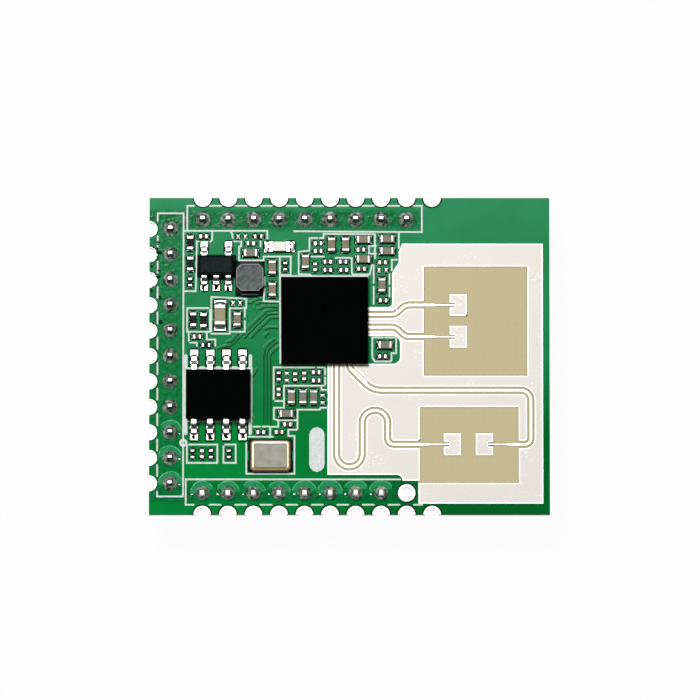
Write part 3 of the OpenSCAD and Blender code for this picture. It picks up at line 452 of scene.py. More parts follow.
def soften(width, *names):
    """Rounds the hard edges of CAD solids or pieces by a width in millimetres."""
    for name in names:
        piece = nodes[name] if name in nodes else bpy.data.objects[name]
        weld = piece.modifiers.new("join_corners", "WELD")
        weld.merge_threshold = WELD_REACH * MM
        bevel = piece.modifiers.new("soft_edges", "BEVEL")
        bevel.width = width * MM
        bevel.segments = 2
        bevel.limit_method = "ANGLE"
        bevel.angle_limit = SHARP_FROM
        bevel.harden_normals = True
    print("edges rounded by", width, "mm on", len(names), "solids or pieces")


soften(0.06, "memory_chip_body", "regulator_body")
soften(0.04, "large_capacitor_body", "brown_capacitor_bodies", "grey_capacitor_bodies", "lamp_lens")
soften(0.02, "small_capacitor_bodies", "resistor_bodies", "small_resistor_bodies", "crystal_base")
soften(0.04, "crystal_lid")

# %% [markdown]
# ## Loose solids
# Most nodes hold many small pieces, such as both ends of every capacitor. Each of them gets
# solder of its own, so its place and size are needed. They are read from the loaded meshes:
# faces that share a corner belong to one piece, and each piece gives a box.

# %% Boxes of loose solids
# Corners closer than about a ten-thousandth of a millimetre count as one
KEYS_PER_METRE = 1e7


def corner_keys(mesh):
    """A key for each corner of a mesh, the same for corners in one place."""
    return [tuple(round(c * KEYS_PER_METRE) for c in v.co) for v in mesh.vertices]


def loose_boxes(name):
    """Lowest and highest corner of every separate solid in a node."""
    mesh = nodes[name].data
    near = corner_keys(mesh)
    leader = {key: key for key in near}

    def head(key):
        while leader[key] != key:
            leader[key] = leader[leader[key]]
            key = leader[key]
        return key

    for face in mesh.polygons:
        first = head(near[face.vertices[0]])
        for k in face.vertices[1:]:
            leader[head(near[k])] = first
    groups = {}
    for key, vert in zip(near, mesh.vertices):
        groups.setdefault(head(key), []).append(vert.co)
    return [(Vector(map(min, zip(*group))), Vector(map(max, zip(*group)))) for group in groups.values()]


def make_piece(name, mesh, finish, smooth=False):
    """Turns a built mesh into a piece that rides on the board."""
    bmesh.ops.recalc_face_normals(mesh, faces=mesh.faces)
    data = bpy.data.meshes.new(name)
    mesh.to_mesh(data)
    mesh.free()
    data.materials.append(finish)
    for face in data.polygons:
        face.use_smooth = smooth
    piece = bpy.data.objects.new(name, data)
    bpy.context.scene.collection.objects.link(piece)
    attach(piece, "root")
    print(name, "with", len(data.polygons), "faces")
    return piece


# %% [markdown]
# ## Metal ends
# The ends of chip capacitors and resistors are dipped in silver paste and tinned, so their
# corners are round, and a flat top between round corners is what makes them shine. The loaded
# bands are sharp boxes: each is replaced by a box of the same size with round edges.

# %% Rounded end caps
CAP_ROUND = 0.045
END_FINISHES = {
    "large_capacitor_terminals": end_finish, "capacitor_terminals": end_finish,
    "small_capacitor_terminals": tin_finish, "resistor_terminals": tin_finish,
    "small_resistor_terminals": tin_finish,
}


def add_round_box(mesh, low, high, radius):
    """A box between two corners with its edges rounded."""
    made = bmesh.ops.create_cube(mesh, size=1)["verts"]
    for vert in made:
        vert.co = Vector([(a + b) / 2 + c * (b - a) for a, b, c in zip(low, high, vert.co)])
    edges = list({edge for vert in made for edge in vert.link_edges})
    bmesh.ops.bevel(mesh, geom=edges, offset=radius, segments=3, profile=0.5, affect="EDGES")


end_caps = {}
for node, finish in END_FINISHES.items():
    end_caps[node] = loose_boxes(node)
    caps = bmesh.new()
    for low, high in end_caps[node]:
        add_round_box(caps, low, high, CAP_ROUND * MM)
    piece = make_piece("rounded_" + node, caps, finish)
    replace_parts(piece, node)

# %% [markdown]
# ## Solder
# When the board went through the oven, the solder paste melted and climbed the metal ends. What
# is left is a small heel between each end and its pad, dark where it faces away from the light.
# Pads without a part, and the long pads of the lamp, keep a shallow dome. Half an ellipsoid does
# for all of them, with its plan drawn out into the corners of the pad.

# %% Heels and domes
HEEL_CLIMB = 0.6
HEEL_LONGEST = 0.3
DOME_HEIGHT = 0.06
LUMP_RINGS, LUMP_SIDES = 5, 24
SQUARENESS = 4


def bridge(mesh, rings):
    """Faces between each ring of corners and the next."""
    for lower, upper in zip(rings, rings[1:]):
        for k in range(len(lower)):
            mesh.faces.new((lower[k - 1], lower[k], upper[k], upper[k - 1]))


def add_lump(mesh, centre, radii):
    """The upper half of an ellipsoid with a squarish plan, closed below."""
    rings = []
    for k in range(LUMP_RINGS):
        lift = math.pi / 2 * k / LUMP_RINGS
        ring = []
        for j in range(LUMP_SIDES):
            turn = 2 * math.pi * j / LUMP_SIDES
            across, along = math.cos(turn), math.sin(turn)
            square = (abs(across) ** SQUARENESS + abs(along) ** SQUARENESS) ** (-1 / SQUARENESS)
            x, y = [r * square * math.cos(lift) * way for r, way in zip(radii, (across, along))]
            ring.append(mesh.verts.new(centre + Vector((x, y, radii[2] * math.sin(lift)))))
        rings.append(ring)
    crown = mesh.verts.new(centre + Vector((0, 0, radii[2])))
    mesh.faces.new(rings[0][::-1])
    bridge(mesh, rings)
    for j in range(LUMP_SIDES):
        mesh.faces.new((rings[-1][j - 1], rings[-1][j], crown))


def covers(pad, solid):
    """Whether a solid stands on a pad."""
    return all(pad[0][k] < solid[1][k] and solid[0][k] < pad[1][k] for k in (0, 1))


def heel_place(pad, solid):
    """The reach of a pad where it comes out most from under a solid, and the axis and sign of that side."""
    reaches = []
    for axis in (0, 1):
        reaches.append((pad[1][axis] - solid[1][axis], axis, 1))
        reaches.append((solid[0][axis] - pad[0][axis], axis, -1))
    return max(reaches)


def add_heel(mesh, pad, solid):
    """Solder between the end of a solid and the pad it stands on."""
    reach, axis, sign = heel_place(pad, solid)
    centre = (pad[0] + pad[1]) / 2
    centre[axis] = solid[1][axis] if sign > 0 else solid[0][axis]
    centre.z = MASK_TOP
    radii = (pad[1] - pad[0]) / 2
    radii[axis] = min(reach, HEEL_LONGEST * MM)
    radii.z = HEEL_CLIMB * (solid[1].z - MASK_TOP)
    add_lump(mesh, centre, radii)


def add_dome(mesh, pad):
    """A shallow dome of solder over a whole pad."""
    middle = (pad[0] + pad[1]) / 2
    size = (pad[1] - pad[0]) / 2
    add_lump(mesh, Vector((middle.x, middle.y, MASK_TOP)), (size.x, size.y, DOME_HEIGHT * MM))


pads = loose_boxes("passive_pads")
ends = [box for boxes in end_caps.values() for box in boxes]
heels, domes = bmesh.new(), bmesh.new()
for pad in pads:
    solid = next((end for end in ends if covers(pad, end)), None)
    if solid:
        add_heel(heels, pad, solid)
    else:
        add_dome(domes, pad)
make_piece("solder_domes", domes, pad_finish, smooth=True)
make_piece("solder_heels", heels, paste_finish, smooth=True)
print(len(pads), "passive pads soldered")

# %% [markdown]
# ## Leads
# A chip lead is a strip of tinned copper, bent down at the shoulder and out again at the foot. The
# loaded leads drop straight down. Real ones slope a little, and that slope is the grey band between
# the bright shoulder and the bright foot, so they are bent anew along a path of two arcs. The grey
# of the slope is painted shade, given to the tin's steep faces.

# %% Bent leads
LEAD_ANGLE = math.radians(70)
# Radius of a bend as a share of the strip's thickness
BEND_SHARE, BEND_STEPS = 0.6, 5
LEAD_EDGE = 0.02
# Thickness of the strip and length of its foot
LEAD_SHAPES = {"memory_chip_leads": (0.2, 0.3), "regulator_leads": (0.15, 0.2)}


def lead_path(length, height, thick, foot):
    """Distance from the tip, height and slope at points along the middle of a lead."""
    radius = BEND_SHARE * thick
    turns = [LEAD_ANGLE * k / BEND_STEPS for k in range(BEND_STEPS + 1)]
    bends = [(radius * math.sin(a), thick / 2 + radius * (1 - math.cos(a)), a) for a in turns]
    drop = height - 2 * bends[-1][1]
    reach = foot + 2 * bends[-1][0] + drop / math.tan(LEAD_ANGLE)
    lower = [(foot + along, lift, a) for along, lift, a in bends]
    upper = [(reach - along, height - lift, a) for along, lift, a in bends[::-1]]
    return [(0, thick / 2, 0)] + lower + upper + [(length, height - thick / 2, 0)]


def lead_foot(lead):
    """The pad under a lead, the way its foot points along y, and where its tip ends."""
    pad = next(box for box in chip_pads if covers(box, lead))
    sign = heel_place(pad, lead)[2]
    return pad, sign, lead[1].y if sign > 0 else lead[0].y


def add_lead(mesh, lead, thick, foot):
    """A bent strip that fills the box of a lead."""
    low, high = lead
    _, sign, tip = lead_foot(lead)
    sides = []
    for x in (low.x, high.x):
        upper, under = [], []
        for along, lift, slope in lead_path(high.y - low.y, high.z - low.z, thick, foot):
            for row, half in ((upper, thick / 2), (under, -thick / 2)):
                y = tip - sign * (along - half * math.sin(slope))
                row.append(mesh.verts.new((x, y, low.z + lift + half * math.cos(slope))))
        sides.append(upper + under[::-1])
    mesh.faces.new(sides[0])
    mesh.faces.new(sides[1][::-1])
    for k in range(len(sides[0])):
        mesh.faces.new((sides[0][k], sides[0][k - 1], sides[1][k - 1], sides[1][k]))


chip_pads = loose_boxes("chip_pads")
lead_boxes = {}
for node, (thick, foot) in LEAD_SHAPES.items():
    lead_boxes[node] = loose_boxes(node)
    strips = bmesh.new()
    for lead in lead_boxes[node]:
        add_lead(strips, lead, thick * MM, foot * MM)
    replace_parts(make_piece("bent_" + node, strips, tin_finish), node)
    soften(LEAD_EDGE, "bent_" + node)

# %% [markdown]
# Round the feet of the chip leads the solder stands as a low fillet, and its shade is painted into it:
# the fillet is dark all over, and only the outer end of each pad stays flat and bright. Where the lower
# leads were touched up, a spot of flux is burnt onto the pad. The chance that moves it a little is
# seeded, so every run gives the same board.

# %% Fillets round the feet of the leads
FILLET_CLIMB = 0.14
FILLET_REACH = 0.16
BURN_SPOTS = 5
# Distance of the burnt spots from the tip, their scatter to the sides and along, and their radii
BURN_AWAY, BURN_ACROSS, BURN_ALONG = 0.26, (-0.1, 0.1), (-0.18, 0.2)
BURN_R, BURN_HEIGHT = (0.07, 0.14), 0.03
chance = random.Random(7)
# Burnt flux on the pads; the same dark finish paints the shade of the lamp's hollows
burnt_flux_and_shade = speckled_solid("burnt_flux_and_shade", 0.8, "#0c0907", "#2a1714", 0.1, 0.004, 0.03)
fillets, burns = bmesh.new(), bmesh.new()
for node, (_, length) in LEAD_SHAPES.items():
    for lead in lead_boxes[node]:
        pad, sign, tip = lead_foot(lead)
        width = min((pad[1] - pad[0]).xy)
        centre = Vector(((pad[0].x + pad[1].x) / 2, tip - sign * length / 2 * MM, MASK_TOP))
        add_lump(fillets, centre, (width / 2, (length / 2 + FILLET_REACH) * MM, FILLET_CLIMB * MM))
        if sign > 0:
            continue
        for _ in range(BURN_SPOTS):
            aside = Vector((chance.uniform(*BURN_ACROSS), chance.uniform(*BURN_ALONG) - BURN_AWAY, 0))
            spot = Vector((centre.x, tip, MASK_TOP)) + aside * MM
            add_lump(burns, spot, [size * MM for size in (
                chance.uniform(*BURN_R), chance.uniform(*BURN_R), BURN_HEIGHT)])
make_piece("lead_fillets", fillets, painted_shade_solder, smooth=True)
make_piece("burnt_toes", burns, burnt_flux_and_shade, smooth=True)

# %% [markdown]
# The ends of the lamp have a half-round hollow each, whose shade is painted as two dark specks beside
# the bright solder, and a yellowish die lies under the milky resin.

# %% Hollows and die of the lamp
SPECK_R, SPECK_HEIGHT = 0.1, 0.24
SPECK_OUT, SPECK_OFF = 0.08, 0.18
# Corners of the die from the middle of the lens's top, and the rounding of its edges
DIE_LOW, DIE_HIGH, DIE_ROUND = Vector((-0.55, 0, -0.05)), Vector((-0.35, 0.3, -0.001)), 0.02
lamp_low, lamp_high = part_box("lamp_base")
lamp_mid = (lamp_low + lamp_high) / 2
# Painted shade of the hollows: small dark lumps in the finish of the burnt flux
hollow_shades = bmesh.new()
for x in (lamp_low.x - SPECK_OUT * MM, lamp_high.x + SPECK_OUT * MM):
    for off in (-SPECK_OFF, SPECK_OFF):
        foot = Vector((x, lamp_mid.y + off * MM, MASK_TOP))
        add_lump(hollow_shades, foot, Vector((SPECK_R, SPECK_R, SPECK_HEIGHT)) * MM)
make_piece("lamp_hollow_shades", hollow_shades, burnt_flux_and_shade, smooth=True)
# Yellow phosphor under the resin: pale and matt
die_finish = speckled_solid("phosphor_die", 0.5, "#cfc98f", "#e2dcae", 0.1, 0.004, 0.2)
lens_mid = Vector((lamp_mid.x, lamp_mid.y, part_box("lamp_lens")[1].z))
die = bmesh.new()
add_round_box(die, lens_mid + DIE_LOW * MM, lens_mid + DIE_HIGH * MM, DIE_ROUND * MM)
make_piece("lamp_die", die, die_finish)

# %% [markdown]
# The pin rows were soldered by hand: each joint is a hollow-sided cone, no two alike. The loaded
# domes are all the same, so they are replaced by turned cones whose radius and height waver a
# little, by numbers from the same seeded generator.

# %% Hand-soldered joints
JOINT_FEET = {"left_solder_joints": 0.62, "top_solder_joints": 0.64, "bottom_solder_joints": 0.58}
# Profile of a joint as shares of its foot radius and of its height
JOINT_PROFILE = [
    (1, 0), (0.93, 0.12), (0.84, 0.26), (0.74, 0.4), (0.65, 0.55), (0.57, 0.72), (0.51, 0.88), (0.46, 1),
]
JOINT_RISE, JOINT_SPREAD = 0.5, (0.85, 1.15)
JOINT_SIDES = 28
JOINT_WAVER = 0.05


def wavers(count):
    """A function of the turn that swings between -1 and 1, different at each call."""
    phases = [chance.uniform(0, 2 * math.pi) for _ in range(count)]
    return lambda turn: sum(math.sin((n + 1) * turn + p) for n, p in enumerate(phases)) / count


def add_stack(mesh, rings):
    """A closed form through rings of corners, from its base to its top."""
    mesh.faces.new(rings[0][::-1])
    mesh.faces.new(rings[-1])
    bridge(mesh, rings)


def add_joint(mesh, centre, foot, rise):
    """A cone of solder round a pin, wavering in radius and height."""
    waver = wavers(4)
    rings = []
    for reach, lift in JOINT_PROFILE:
        ring = []
        for j in range(JOINT_SIDES):
            turn = 2 * math.pi * j / JOINT_SIDES
            radius = foot * reach * (1 + JOINT_WAVER * waver(turn))
            height = MASK_TOP + rise * lift * (1 + 2 * JOINT_WAVER * waver(turn + lift))
            x, y = centre.x + radius * math.cos(turn), centre.y + radius * math.sin(turn)
            ring.append(mesh.verts.new((x, y, height)))
        rings.append(ring)
    add_stack(mesh, rings)


pin_places = {}
for node, foot in JOINT_FEET.items():
    pin_places[node] = [(low + high) / 2 for low, high in loose_boxes(node)]
    joints = bmesh.new()
    for centre in pin_places[node]:
        add_joint(joints, centre, foot * MM, JOINT_RISE * chance.uniform(*JOINT_SPREAD) * MM)
    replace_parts(make_piece("hand_" + node, joints, solder_finish, smooth=True), node)

# %% [markdown]
# The pins of the left and the top row were cut slantwise on their near side. The cut is steep, so it
# mirrors the dark board and not the sky, and that dark green is also painted into the colour of its faces
# as shade and reflection. Each of these pins is a stack of rectangles, and the faces of its cut are told
# by their direction.

# %% Pins with a slanting cut
# Distance from the upper end, half width, and reach to the near side
PIN_STEPS = [(0.42, 0.25, 0.25), (0.08, 0.25, 0.08), (0, 0.15, 0.05)]
PIN_FOOT = [(0, 0.15, 0.15), (0.15, 0.25, 0.25)]
# A face of the cut looks to the near side and upwards by more than these shares
CUT_NEAR, CUT_UP = 0.5, 0.1


def add_pin(mesh, low, high):
    """A square pin with a tapered foot and a slanting cut at its upper end."""
    x, y = (low.x + high.x) / 2, (low.y + high.y) / 2
    steps = [(low.z + up * MM, half, near) for up, half, near in PIN_FOOT]
    steps += [(high.z - down * MM, half, near) for down, half, near in PIN_STEPS]
    rings = []
    for z, half, near in steps:
        corners = ((half, half), (-half, half), (-half, -near), (half, -near))
        rings.append([mesh.verts.new((x + a * MM, y + b * MM, z)) for a, b in corners])
    add_stack(mesh, rings)


for node in ("left_header_pins", "top_header_pins"):
    pins = bmesh.new()
    for low, high in loose_boxes(node):
        add_pin(pins, low, high)
    piece = make_piece("cut_" + node, pins, pin_finish)
    piece.data.materials.append(cut_shade_finish)
    for face in piece.data.polygons:
        face.material_index = int(face.normal.y < -CUT_NEAR and face.normal.z > CUT_UP)
    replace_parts(piece, node)

# %% [markdown]
# ## White print
# The outlines round the parts are screen printed in white epoxy ink, about 0.13 mm wide. They
# could be a texture, but thin strokes of real ink also show their edge from the side. Each
# stroke is a line of corner points in millimetres that a function widens into a flat slab
# with mitred corners and round ends.

# %% Strokes
INK_WIDTH = 0.13
INK_HEIGHT = 0.012
CAP_STEPS = 6
# At a sharp corner the mitre stops at the half width divided by this
MITRE_LIMIT = 0.4


def side_of(direction):
    """A direction turned to the left by a right angle."""
    return Vector((-direction.y, direction.x))


def stroke_outline(points, width):
    """Corner points of a line of constant width with mitred corners and round ends."""
    spots = [Vector(p) for p in points]
    runs = [(b - a).normalized() for a, b in zip(spots, spots[1:])]
    half = width / 2
    left, right = [], []
    for k, spot in enumerate(spots):
        before = side_of(runs[max(k - 1, 0)])
        after = side_of(runs[min(k, len(runs) - 1)])
        middle = (before + after).normalized()
        reach = middle * half / max(middle.dot(after), MITRE_LIMIT)
        left.append(spot + reach)
        right.append(spot - reach)
    return left + round_end(spots[-1], runs[-1], half) + right[::-1] + round_end(spots[0], -runs[0], half)


def round_end(spot, direction, radius):
    """Points of the half circle at the end of a stroke, from its left side to its right."""
    turns = [math.pi * k / CAP_STEPS for k in range(1, CAP_STEPS)]
    return [
        spot + radius * (math.cos(a) * side_of(direction) + math.sin(a) * direction) for a in turns
    ]


def add_slab(mesh, outline, thick, base=MASK_TOP):
    """A closed slab with an outline and a thickness in millimetres, on a level in metres."""
    top = [mesh.verts.new((p.x * MM, p.y * MM, base + thick * MM)) for p in outline]
    under = [mesh.verts.new((p.x * MM, p.y * MM, base)) for p in outline]
    mesh.faces.new(top[::-1])
    mesh.faces.new(under)
    for k in range(len(outline)):
        mesh.faces.new((top[k], top[k - 1], under[k - 1], under[k]))


# %% [markdown]
# The long boxes follow the pin rows. Along the edges their lines are cut at every half hole,
# so those dashes come from the places of the loaded half holes.

# %% Boxes round the pin rows
ROW_LEFT, ROW_TOP, ROW_BOTTOM = -15.06, 11.83, -11.68
# A line stays this far away from the middle of a half hole
HOLE_GAP = 0.57


def dashes(start, end, name, axis):
    """Stretches of a line from start to end that keep a gap on both sides of each half hole of a node."""
    holes = sorted((low[axis] + high[axis]) / 2 / MM for low, high in loose_boxes(name))
    cuts = [h for h in holes if start < h < end]
    return zip([start] + [h + HOLE_GAP for h in cuts], [h - HOLE_GAP for h in cuts] + [end])


left_dashes = dashes(-9.43, 9.43, "left_half_hole_plating", 1)
top_dashes = dashes(-10.95, 3.91, "top_half_hole_plating", 0)
bottom_dashes = dashes(-10.95, 5.69, "bottom_half_hole_plating", 0)
row_lines = [
    [(ROW_LEFT, 10.65), (ROW_LEFT, 11.24), (-13.03, 11.24), (-13.03, -11.03), (ROW_LEFT, -11.03),
     (ROW_LEFT, -10.65)],
    [(-12.2, ROW_TOP), (-12.74, ROW_TOP), (-12.74, 9.86)],
    [(-13.03, 9.86), (-6.45, 9.86), (-6.45, 9.22)],
    [(-4.35, 9.83), (-1.3, 9.8), (5.69, 9.76), (5.69, ROW_TOP), (5.05, ROW_TOP)],
    [(3.98, -9.69), (-12.82, -9.69), (-12.82, ROW_BOTTOM), (-12.2, ROW_BOTTOM)],
]
row_lines += [[(ROW_LEFT, a), (ROW_LEFT, b)] for a, b in left_dashes]
row_lines += [[(a, ROW_TOP), (b, ROW_TOP)] for a, b in top_dashes]
row_lines += [[(a, ROW_BOTTOM), (b, ROW_BOTTOM)] for a, b in bottom_dashes]
print(len(row_lines), "lines along the pin rows")

# %% [markdown]
# The lines round the parts are drawn one by one from the photograph, in the reading order of
# the board: the supply corner, the parts above the chip, those beside it, and those below.

# %% Lines round the parts
supply_lines = [
    [(-11.8, 9.03), (-11.99, 9.03), (-12.06, 5.1), (-13.03, 5.1)],
    [(-10.78, 9.78), (-10.78, 9.15), (-10.93, 8.98)],
    [(-9.35, 9.85), (-9.2, 9.6), (-9.17, 9.3)],
    [(-9.05, 9.03), (-8.5, 9.03), (-8.5, 8.65), (-8.67, 8.6), (-8.67, 7.53), (-6.75, 7.53), (-6.74, 7.83),
     (-4.6, 7.83), (-4.62, 6.36), (-5.4, 6.38)],
    [(-6.98, 9.05), (-6.98, 8.62)],
    [(-5.47, 7.8), (-5.42, -0.55)],
    [(-5.42, 6.29), (1.45, 6.29)],
    [(-6.65, 6.2), (-6.65, 5.6)],
    [(-6.65, 5.3), (-6.75, 4.32), (-5.5, 4.28)],
    [(-10.83, 1.95), (-10.83, 4.65), (-8.1, 4.5), (-8.1, 3.77), (-9.39, 3.77), (-9.39, 1.75),
     (-10.83, 1.75)],
    [(-8.21, 3.7), (-8.21, 3.1)],
    [(-8.21, 2.75), (-8.21, 1.9), (-9.39, 1.9)],
    [(-10.95, 3.77), (-12.73, 3.77), (-12.73, 1.9), (-10.95, 1.9), (-10.95, 3.77)],
    [(-12.6, 1.9), (-12.6, 1.2)],
    [(-12.5, 1.05), (-12.0, 1.05), (-11.96, 0.8)],
    [(-11.19, 1.9), (-11.19, 1.3), (-10.52, 1.3), (-10.52, 0.8)],
]
upper_lines = [
    [(-3.14, 8.43), (-3.14, 9.25), (-3.08, 9.29), (-2.5, 9.29)],
    [(-2.33, 9.29), (-2.05, 9.29), (-2.03, 9.62), (1.9, 9.6)],
    [(-3.15, 8.3), (-3.985, 8.2), (-3.985, 6.45), (-3.05, 6.4)],
    [(-3.0, 7.83), (-2.4, 7.83)],
    [(-2.3, 7.83), (-2.0, 7.83)],
    [(2.0, 9.6), (2.0, 7.7)],
    [(2.08, 8.06), (1.53, 8.06), (1.53, 8.66), (2.08, 8.66)],
    [(3.88, 9.76), (3.88, 8.5)],
    [(3.74, 7.58), (3.33, 7.58), (3.33, 6.74)],
    [(-1.1, 7.73), (0.1, 7.73)],
    [(0.18, 7.7), (0.18, 6.6), (0.25, 6.42), (1.6, 6.42), (1.75, 7.15), (1.9, 7.15), (1.9, 5.75)],
    [(1.9, 5.45), (1.9, 4.1)],
    [(3.14, 6.43), (3.14, 5.66)],
    [(3.14, 5.4), (3.14, 4.68)],
    [(1.79, 0), (1.79, 1.45), (2.63, 1.45)],
    [(2.8, 1.45), (3.57, 1.45)],
    [(3.66, 1.35), (3.66, 0.22), (3.3, 0.22), (3.3, -0.35), (3.23, -0.43), (1.98, -0.43), (1.8, -0.1)],
]
lower_lines = [
    [(-5.94, -3.4), (-5.94, -0.9), (-2.75, -0.9)],
    [(-2.5, -0.9), (-2.0, -0.9)],
    [(-5.82, -3.54), (-5.15, -3.54)],
    [(-2.0, -2.34), (-5.13, -2.34), (-5.13, -4.07), (-5.92, -4.07), (-5.92, -4.95), (-5.63, -5.05),
     (-4.07, -5.05)],
    [(-1.91, -0.99), (-1.91, -1.47)],
    [(-1.91, -1.69), (-1.91, -2.24)],
    [(-2.2, -2.43), (-2.2, -2.66), (-1.84, -2.66)],
    [(-1.84, -4.07), (-2.27, -4.07), (-2.32, -4.22), (-4.07, -4.22), (-4.07, -5.7), (-4.14, -5.8),
     (-4.79, -5.8), (-4.79, -6.28)],
    [(-5.58, -5.05), (-5.58, -5.57), (-6.11, -5.57)],
    [(-7.53, -5.55), (-7.02, -5.55)],
    [(-6.83, -5.55), (-6.28, -5.55)],
    [(-6.21, -5.6), (-6.21, -6.4)],
    [(-7.9, -6.35), (-6.0, -6.35)],
    [(-8.08, -6.85), (-8.08, -9.25), (-4.31, -9.25), (-4.31, -6.28), (-4.8, -6.28)],
    [(-12.73, -6.96), (-12.73, -8.4), (-10.35, -8.4), (-10.35, -6.96), (-12.73, -6.96)],
    [(-9.87, -6.96), (-9.87, -8.4), (-8.91, -8.4), (-8.91, -6.96), (-9.87, -6.96)],
    [(-12.9, -0.97), (-12.9, -5.15), (-7.67, -5.15), (-7.67, -0.97), (-12.9, -0.97)],
]
BAR_WIDTH = 0.26
bars = [[(x, a), (x, b)] for x in (-12.83, -7.77) for a, b in ((0, -0.87), (-5.05, -6.08))]
print(len(supply_lines + upper_lines + lower_lines + bars), "lines round the parts")

# %% [markdown]
# All lines become slabs of one piece of ink. Small blobs lie between the upper leads of the memory
# chip, a ring marks its first pin, and a plain block of ink lies beside the crystal.

# %% White ink
BLOB_PLACES, BLOB_Y = (-11.55, -10.28, -9.01), -0.92
BLOB_REACH, BLOB_WIDTH = 0.14, 0.22
FIRST_PIN, FIRST_PIN_R, FIRST_PIN_INK = Vector((-13.02, -6.82)), 0.23, 0.18
CIRCLE_STEP, CIRCLE_POINTS = 0.3, 22
BLOCK_LOW, BLOCK_HIGH = Vector((-3.15, -9.1)), Vector((-1.95, -5.6))
# Each stroke is a hair thicker than the one before, so that crossing strokes never share a face
HAIR = 0.0001
# White epoxy ink: matt and slightly uneven in cover
ink_finish = speckled_solid("screen_printed_ink", 0.6, "#dfe9e4", "#f6faf8", 0.25, 0.004, 0.2)
strokes = [stroke_outline(line, INK_WIDTH) for line in row_lines + supply_lines + upper_lines + lower_lines]
strokes += [stroke_outline(bar, BAR_WIDTH) for bar in bars]
strokes += [
    stroke_outline([(x - BLOB_REACH, BLOB_Y), (x + BLOB_REACH, BLOB_Y)], BLOB_WIDTH) for x in BLOB_PLACES]
turns = [CIRCLE_STEP * k for k in range(CIRCLE_POINTS)]
circle = [FIRST_PIN + FIRST_PIN_R * Vector((math.cos(a), math.sin(a))) for a in turns]
# Two arcs that overlap, because one stroke can't close on itself
strokes += [stroke_outline(arc, FIRST_PIN_INK) for arc in (circle[:12], circle[10:])]
block_x = (BLOCK_LOW.x + BLOCK_HIGH.x) / 2
block_w = BLOCK_HIGH.x - BLOCK_LOW.x
block = [(block_x, BLOCK_LOW.y + block_w / 2), (block_x, BLOCK_HIGH.y - block_w / 2)]
strokes.append(stroke_outline(block, block_w))
ink = bmesh.new()
for k, outline in enumerate(strokes):
    add_slab(ink, outline, INK_HEIGHT + HAIR * k)
make_piece("white_print", ink, ink_finish)

# %% [markdown]
# ## Copper relief
# Under the mask the copper tracks stand up by a few hundredths of a millimetre. Light from the
# far side catches one shoulder of each track, and beside the other shoulder the mask lies on bare
# laminate; that dark line, drawn on the near side only, is also painted shade. That pair of lines is
# all that can be seen of the wiring. The dark gaps are drawn from the photograph, and a
# round-shouldered ribbon in the mask's own finish runs along the upper side of each.

# %% Tracks and the gaps beside them
GAP_WIDTH, GAP_HEIGHT = 0.09, 0.012
TRACK_WIDTH = 0.06
TRACK_SHIFT = Vector((-0.07, 0.1))
# Widths added to a track and heights at them, from foot to crest
SHOULDERS = [(0.22, 0.0), (0.18, 0.002), (0.1, 0.0045), (0.0, 0.006)]
gap_lines = [
    [(-5.49, 4.11), (-7.02, 4.11), (-7.32, 4.02)],
    [(-6.76, 4.44), (-7.2, 4.38), (-7.73, 4.1), (-7.95, 4.14)],
    [(-5.49, 3.93), (-5.64, 3.8), (-6.72, 3.8), (-6.87, 3.65), (-7.13, 3.63)],
    [(-5.49, 3.71), (-5.56, 3.58), (-6.4, 3.5), (-6.55, 3.4), (-7.95, 2.05), (-8.1, 1.93)],
    [(-8.2, 1.79), (-9.04, 0.96), (-9.37, 0.74), (-9.6, 0.72), (-10.3, 0.5)],
    [(-8.66, 1.71), (-9.2, 1.11), (-9.6, 0.98)],
    [(-5.49, 3.25), (-6.27, 3.24), (-6.42, 3.17), (-8.22, 1.37)],
    [(-5.49, 2.94), (-6.1, 2.94), (-6.27, 2.83), (-7.5, 1.6), (-7.69, 1.37)],
    [(-5.53, 2.15), (-6.31, 2.15), (-6.61, 2.01)],
    [(-6.31, 1.75), (-6.65, 1.41)],
    [(-5.83, 1.24), (-6.24, 0.96), (-6.5, 0.67), (-6.61, 0.48), (-6.7, 0), (-6.7, -5.3)],
    [(-5.49, 1.08), (-5.86, 0.93), (-6.24, 0.59), (-6.42, 0.25), (-6.45, 0), (-6.45, -5.3)],
    [(-5.49, 0.65), (-5.86, 0.37), (-6.12, 0.1), (-6.17, -0.1), (-6.17, -5.3)],
    [(-7.2, -1.1), (-7.4, -1.47), (-7.59, -1.66)],
]
faint_lines = [[(-10.95, -8.5), (-10.95, -9.5)], [(-10.6, -8.5), (-10.6, -9.5)]]


def add_collar(mesh, outlines):
    """A band of faces through nested outlines, each with its height above the mask in millimetres."""
    rings = [
        [mesh.verts.new((p.x * MM, p.y * MM, MASK_TOP + height * MM)) for p in points]
        for points, height in outlines
    ]
    bridge(mesh, rings)
    return rings[-1]


relief = bmesh.new()
for line in gap_lines + faint_lines:
    track = [Vector(p) + TRACK_SHIFT for p in line]
    shoulders = [(stroke_outline(track, TRACK_WIDTH + grow), height) for grow, height in SHOULDERS]
    relief.faces.new(add_collar(relief, shoulders))
make_piece("tracks_under_mask", relief, mask_finish, smooth=True)
# Mask on bare laminate, with painted shade of the near shoulder: a deep green
gap_shade_finish = speckled_solid("laminate_gap_and_shade", 0.3, "#00361a", "#004522", 0.3, 0.004, 0.04)
gaps = bmesh.new()
for k, line in enumerate(gap_lines):
    add_slab(gaps, stroke_outline(line, GAP_WIDTH), GAP_HEIGHT + HAIR * k)
make_piece("track_gaps", gaps, gap_shade_finish)

# %% [markdown]
# Round every pad the mask climbs over the edge of the copper in a low bank, and over a few plated
# holes it sags into a dimple. Both are bands of faces through nested outlines, shaded smooth, so
# that their far side catches the light and their near side doesn't.

# %% Banks round pads and holes
PAD_BANK = [(0.24, 0.0), (0.21, 0.012), (0.17, 0.018), (0.145, 0.015), (0.13, 0.0)]
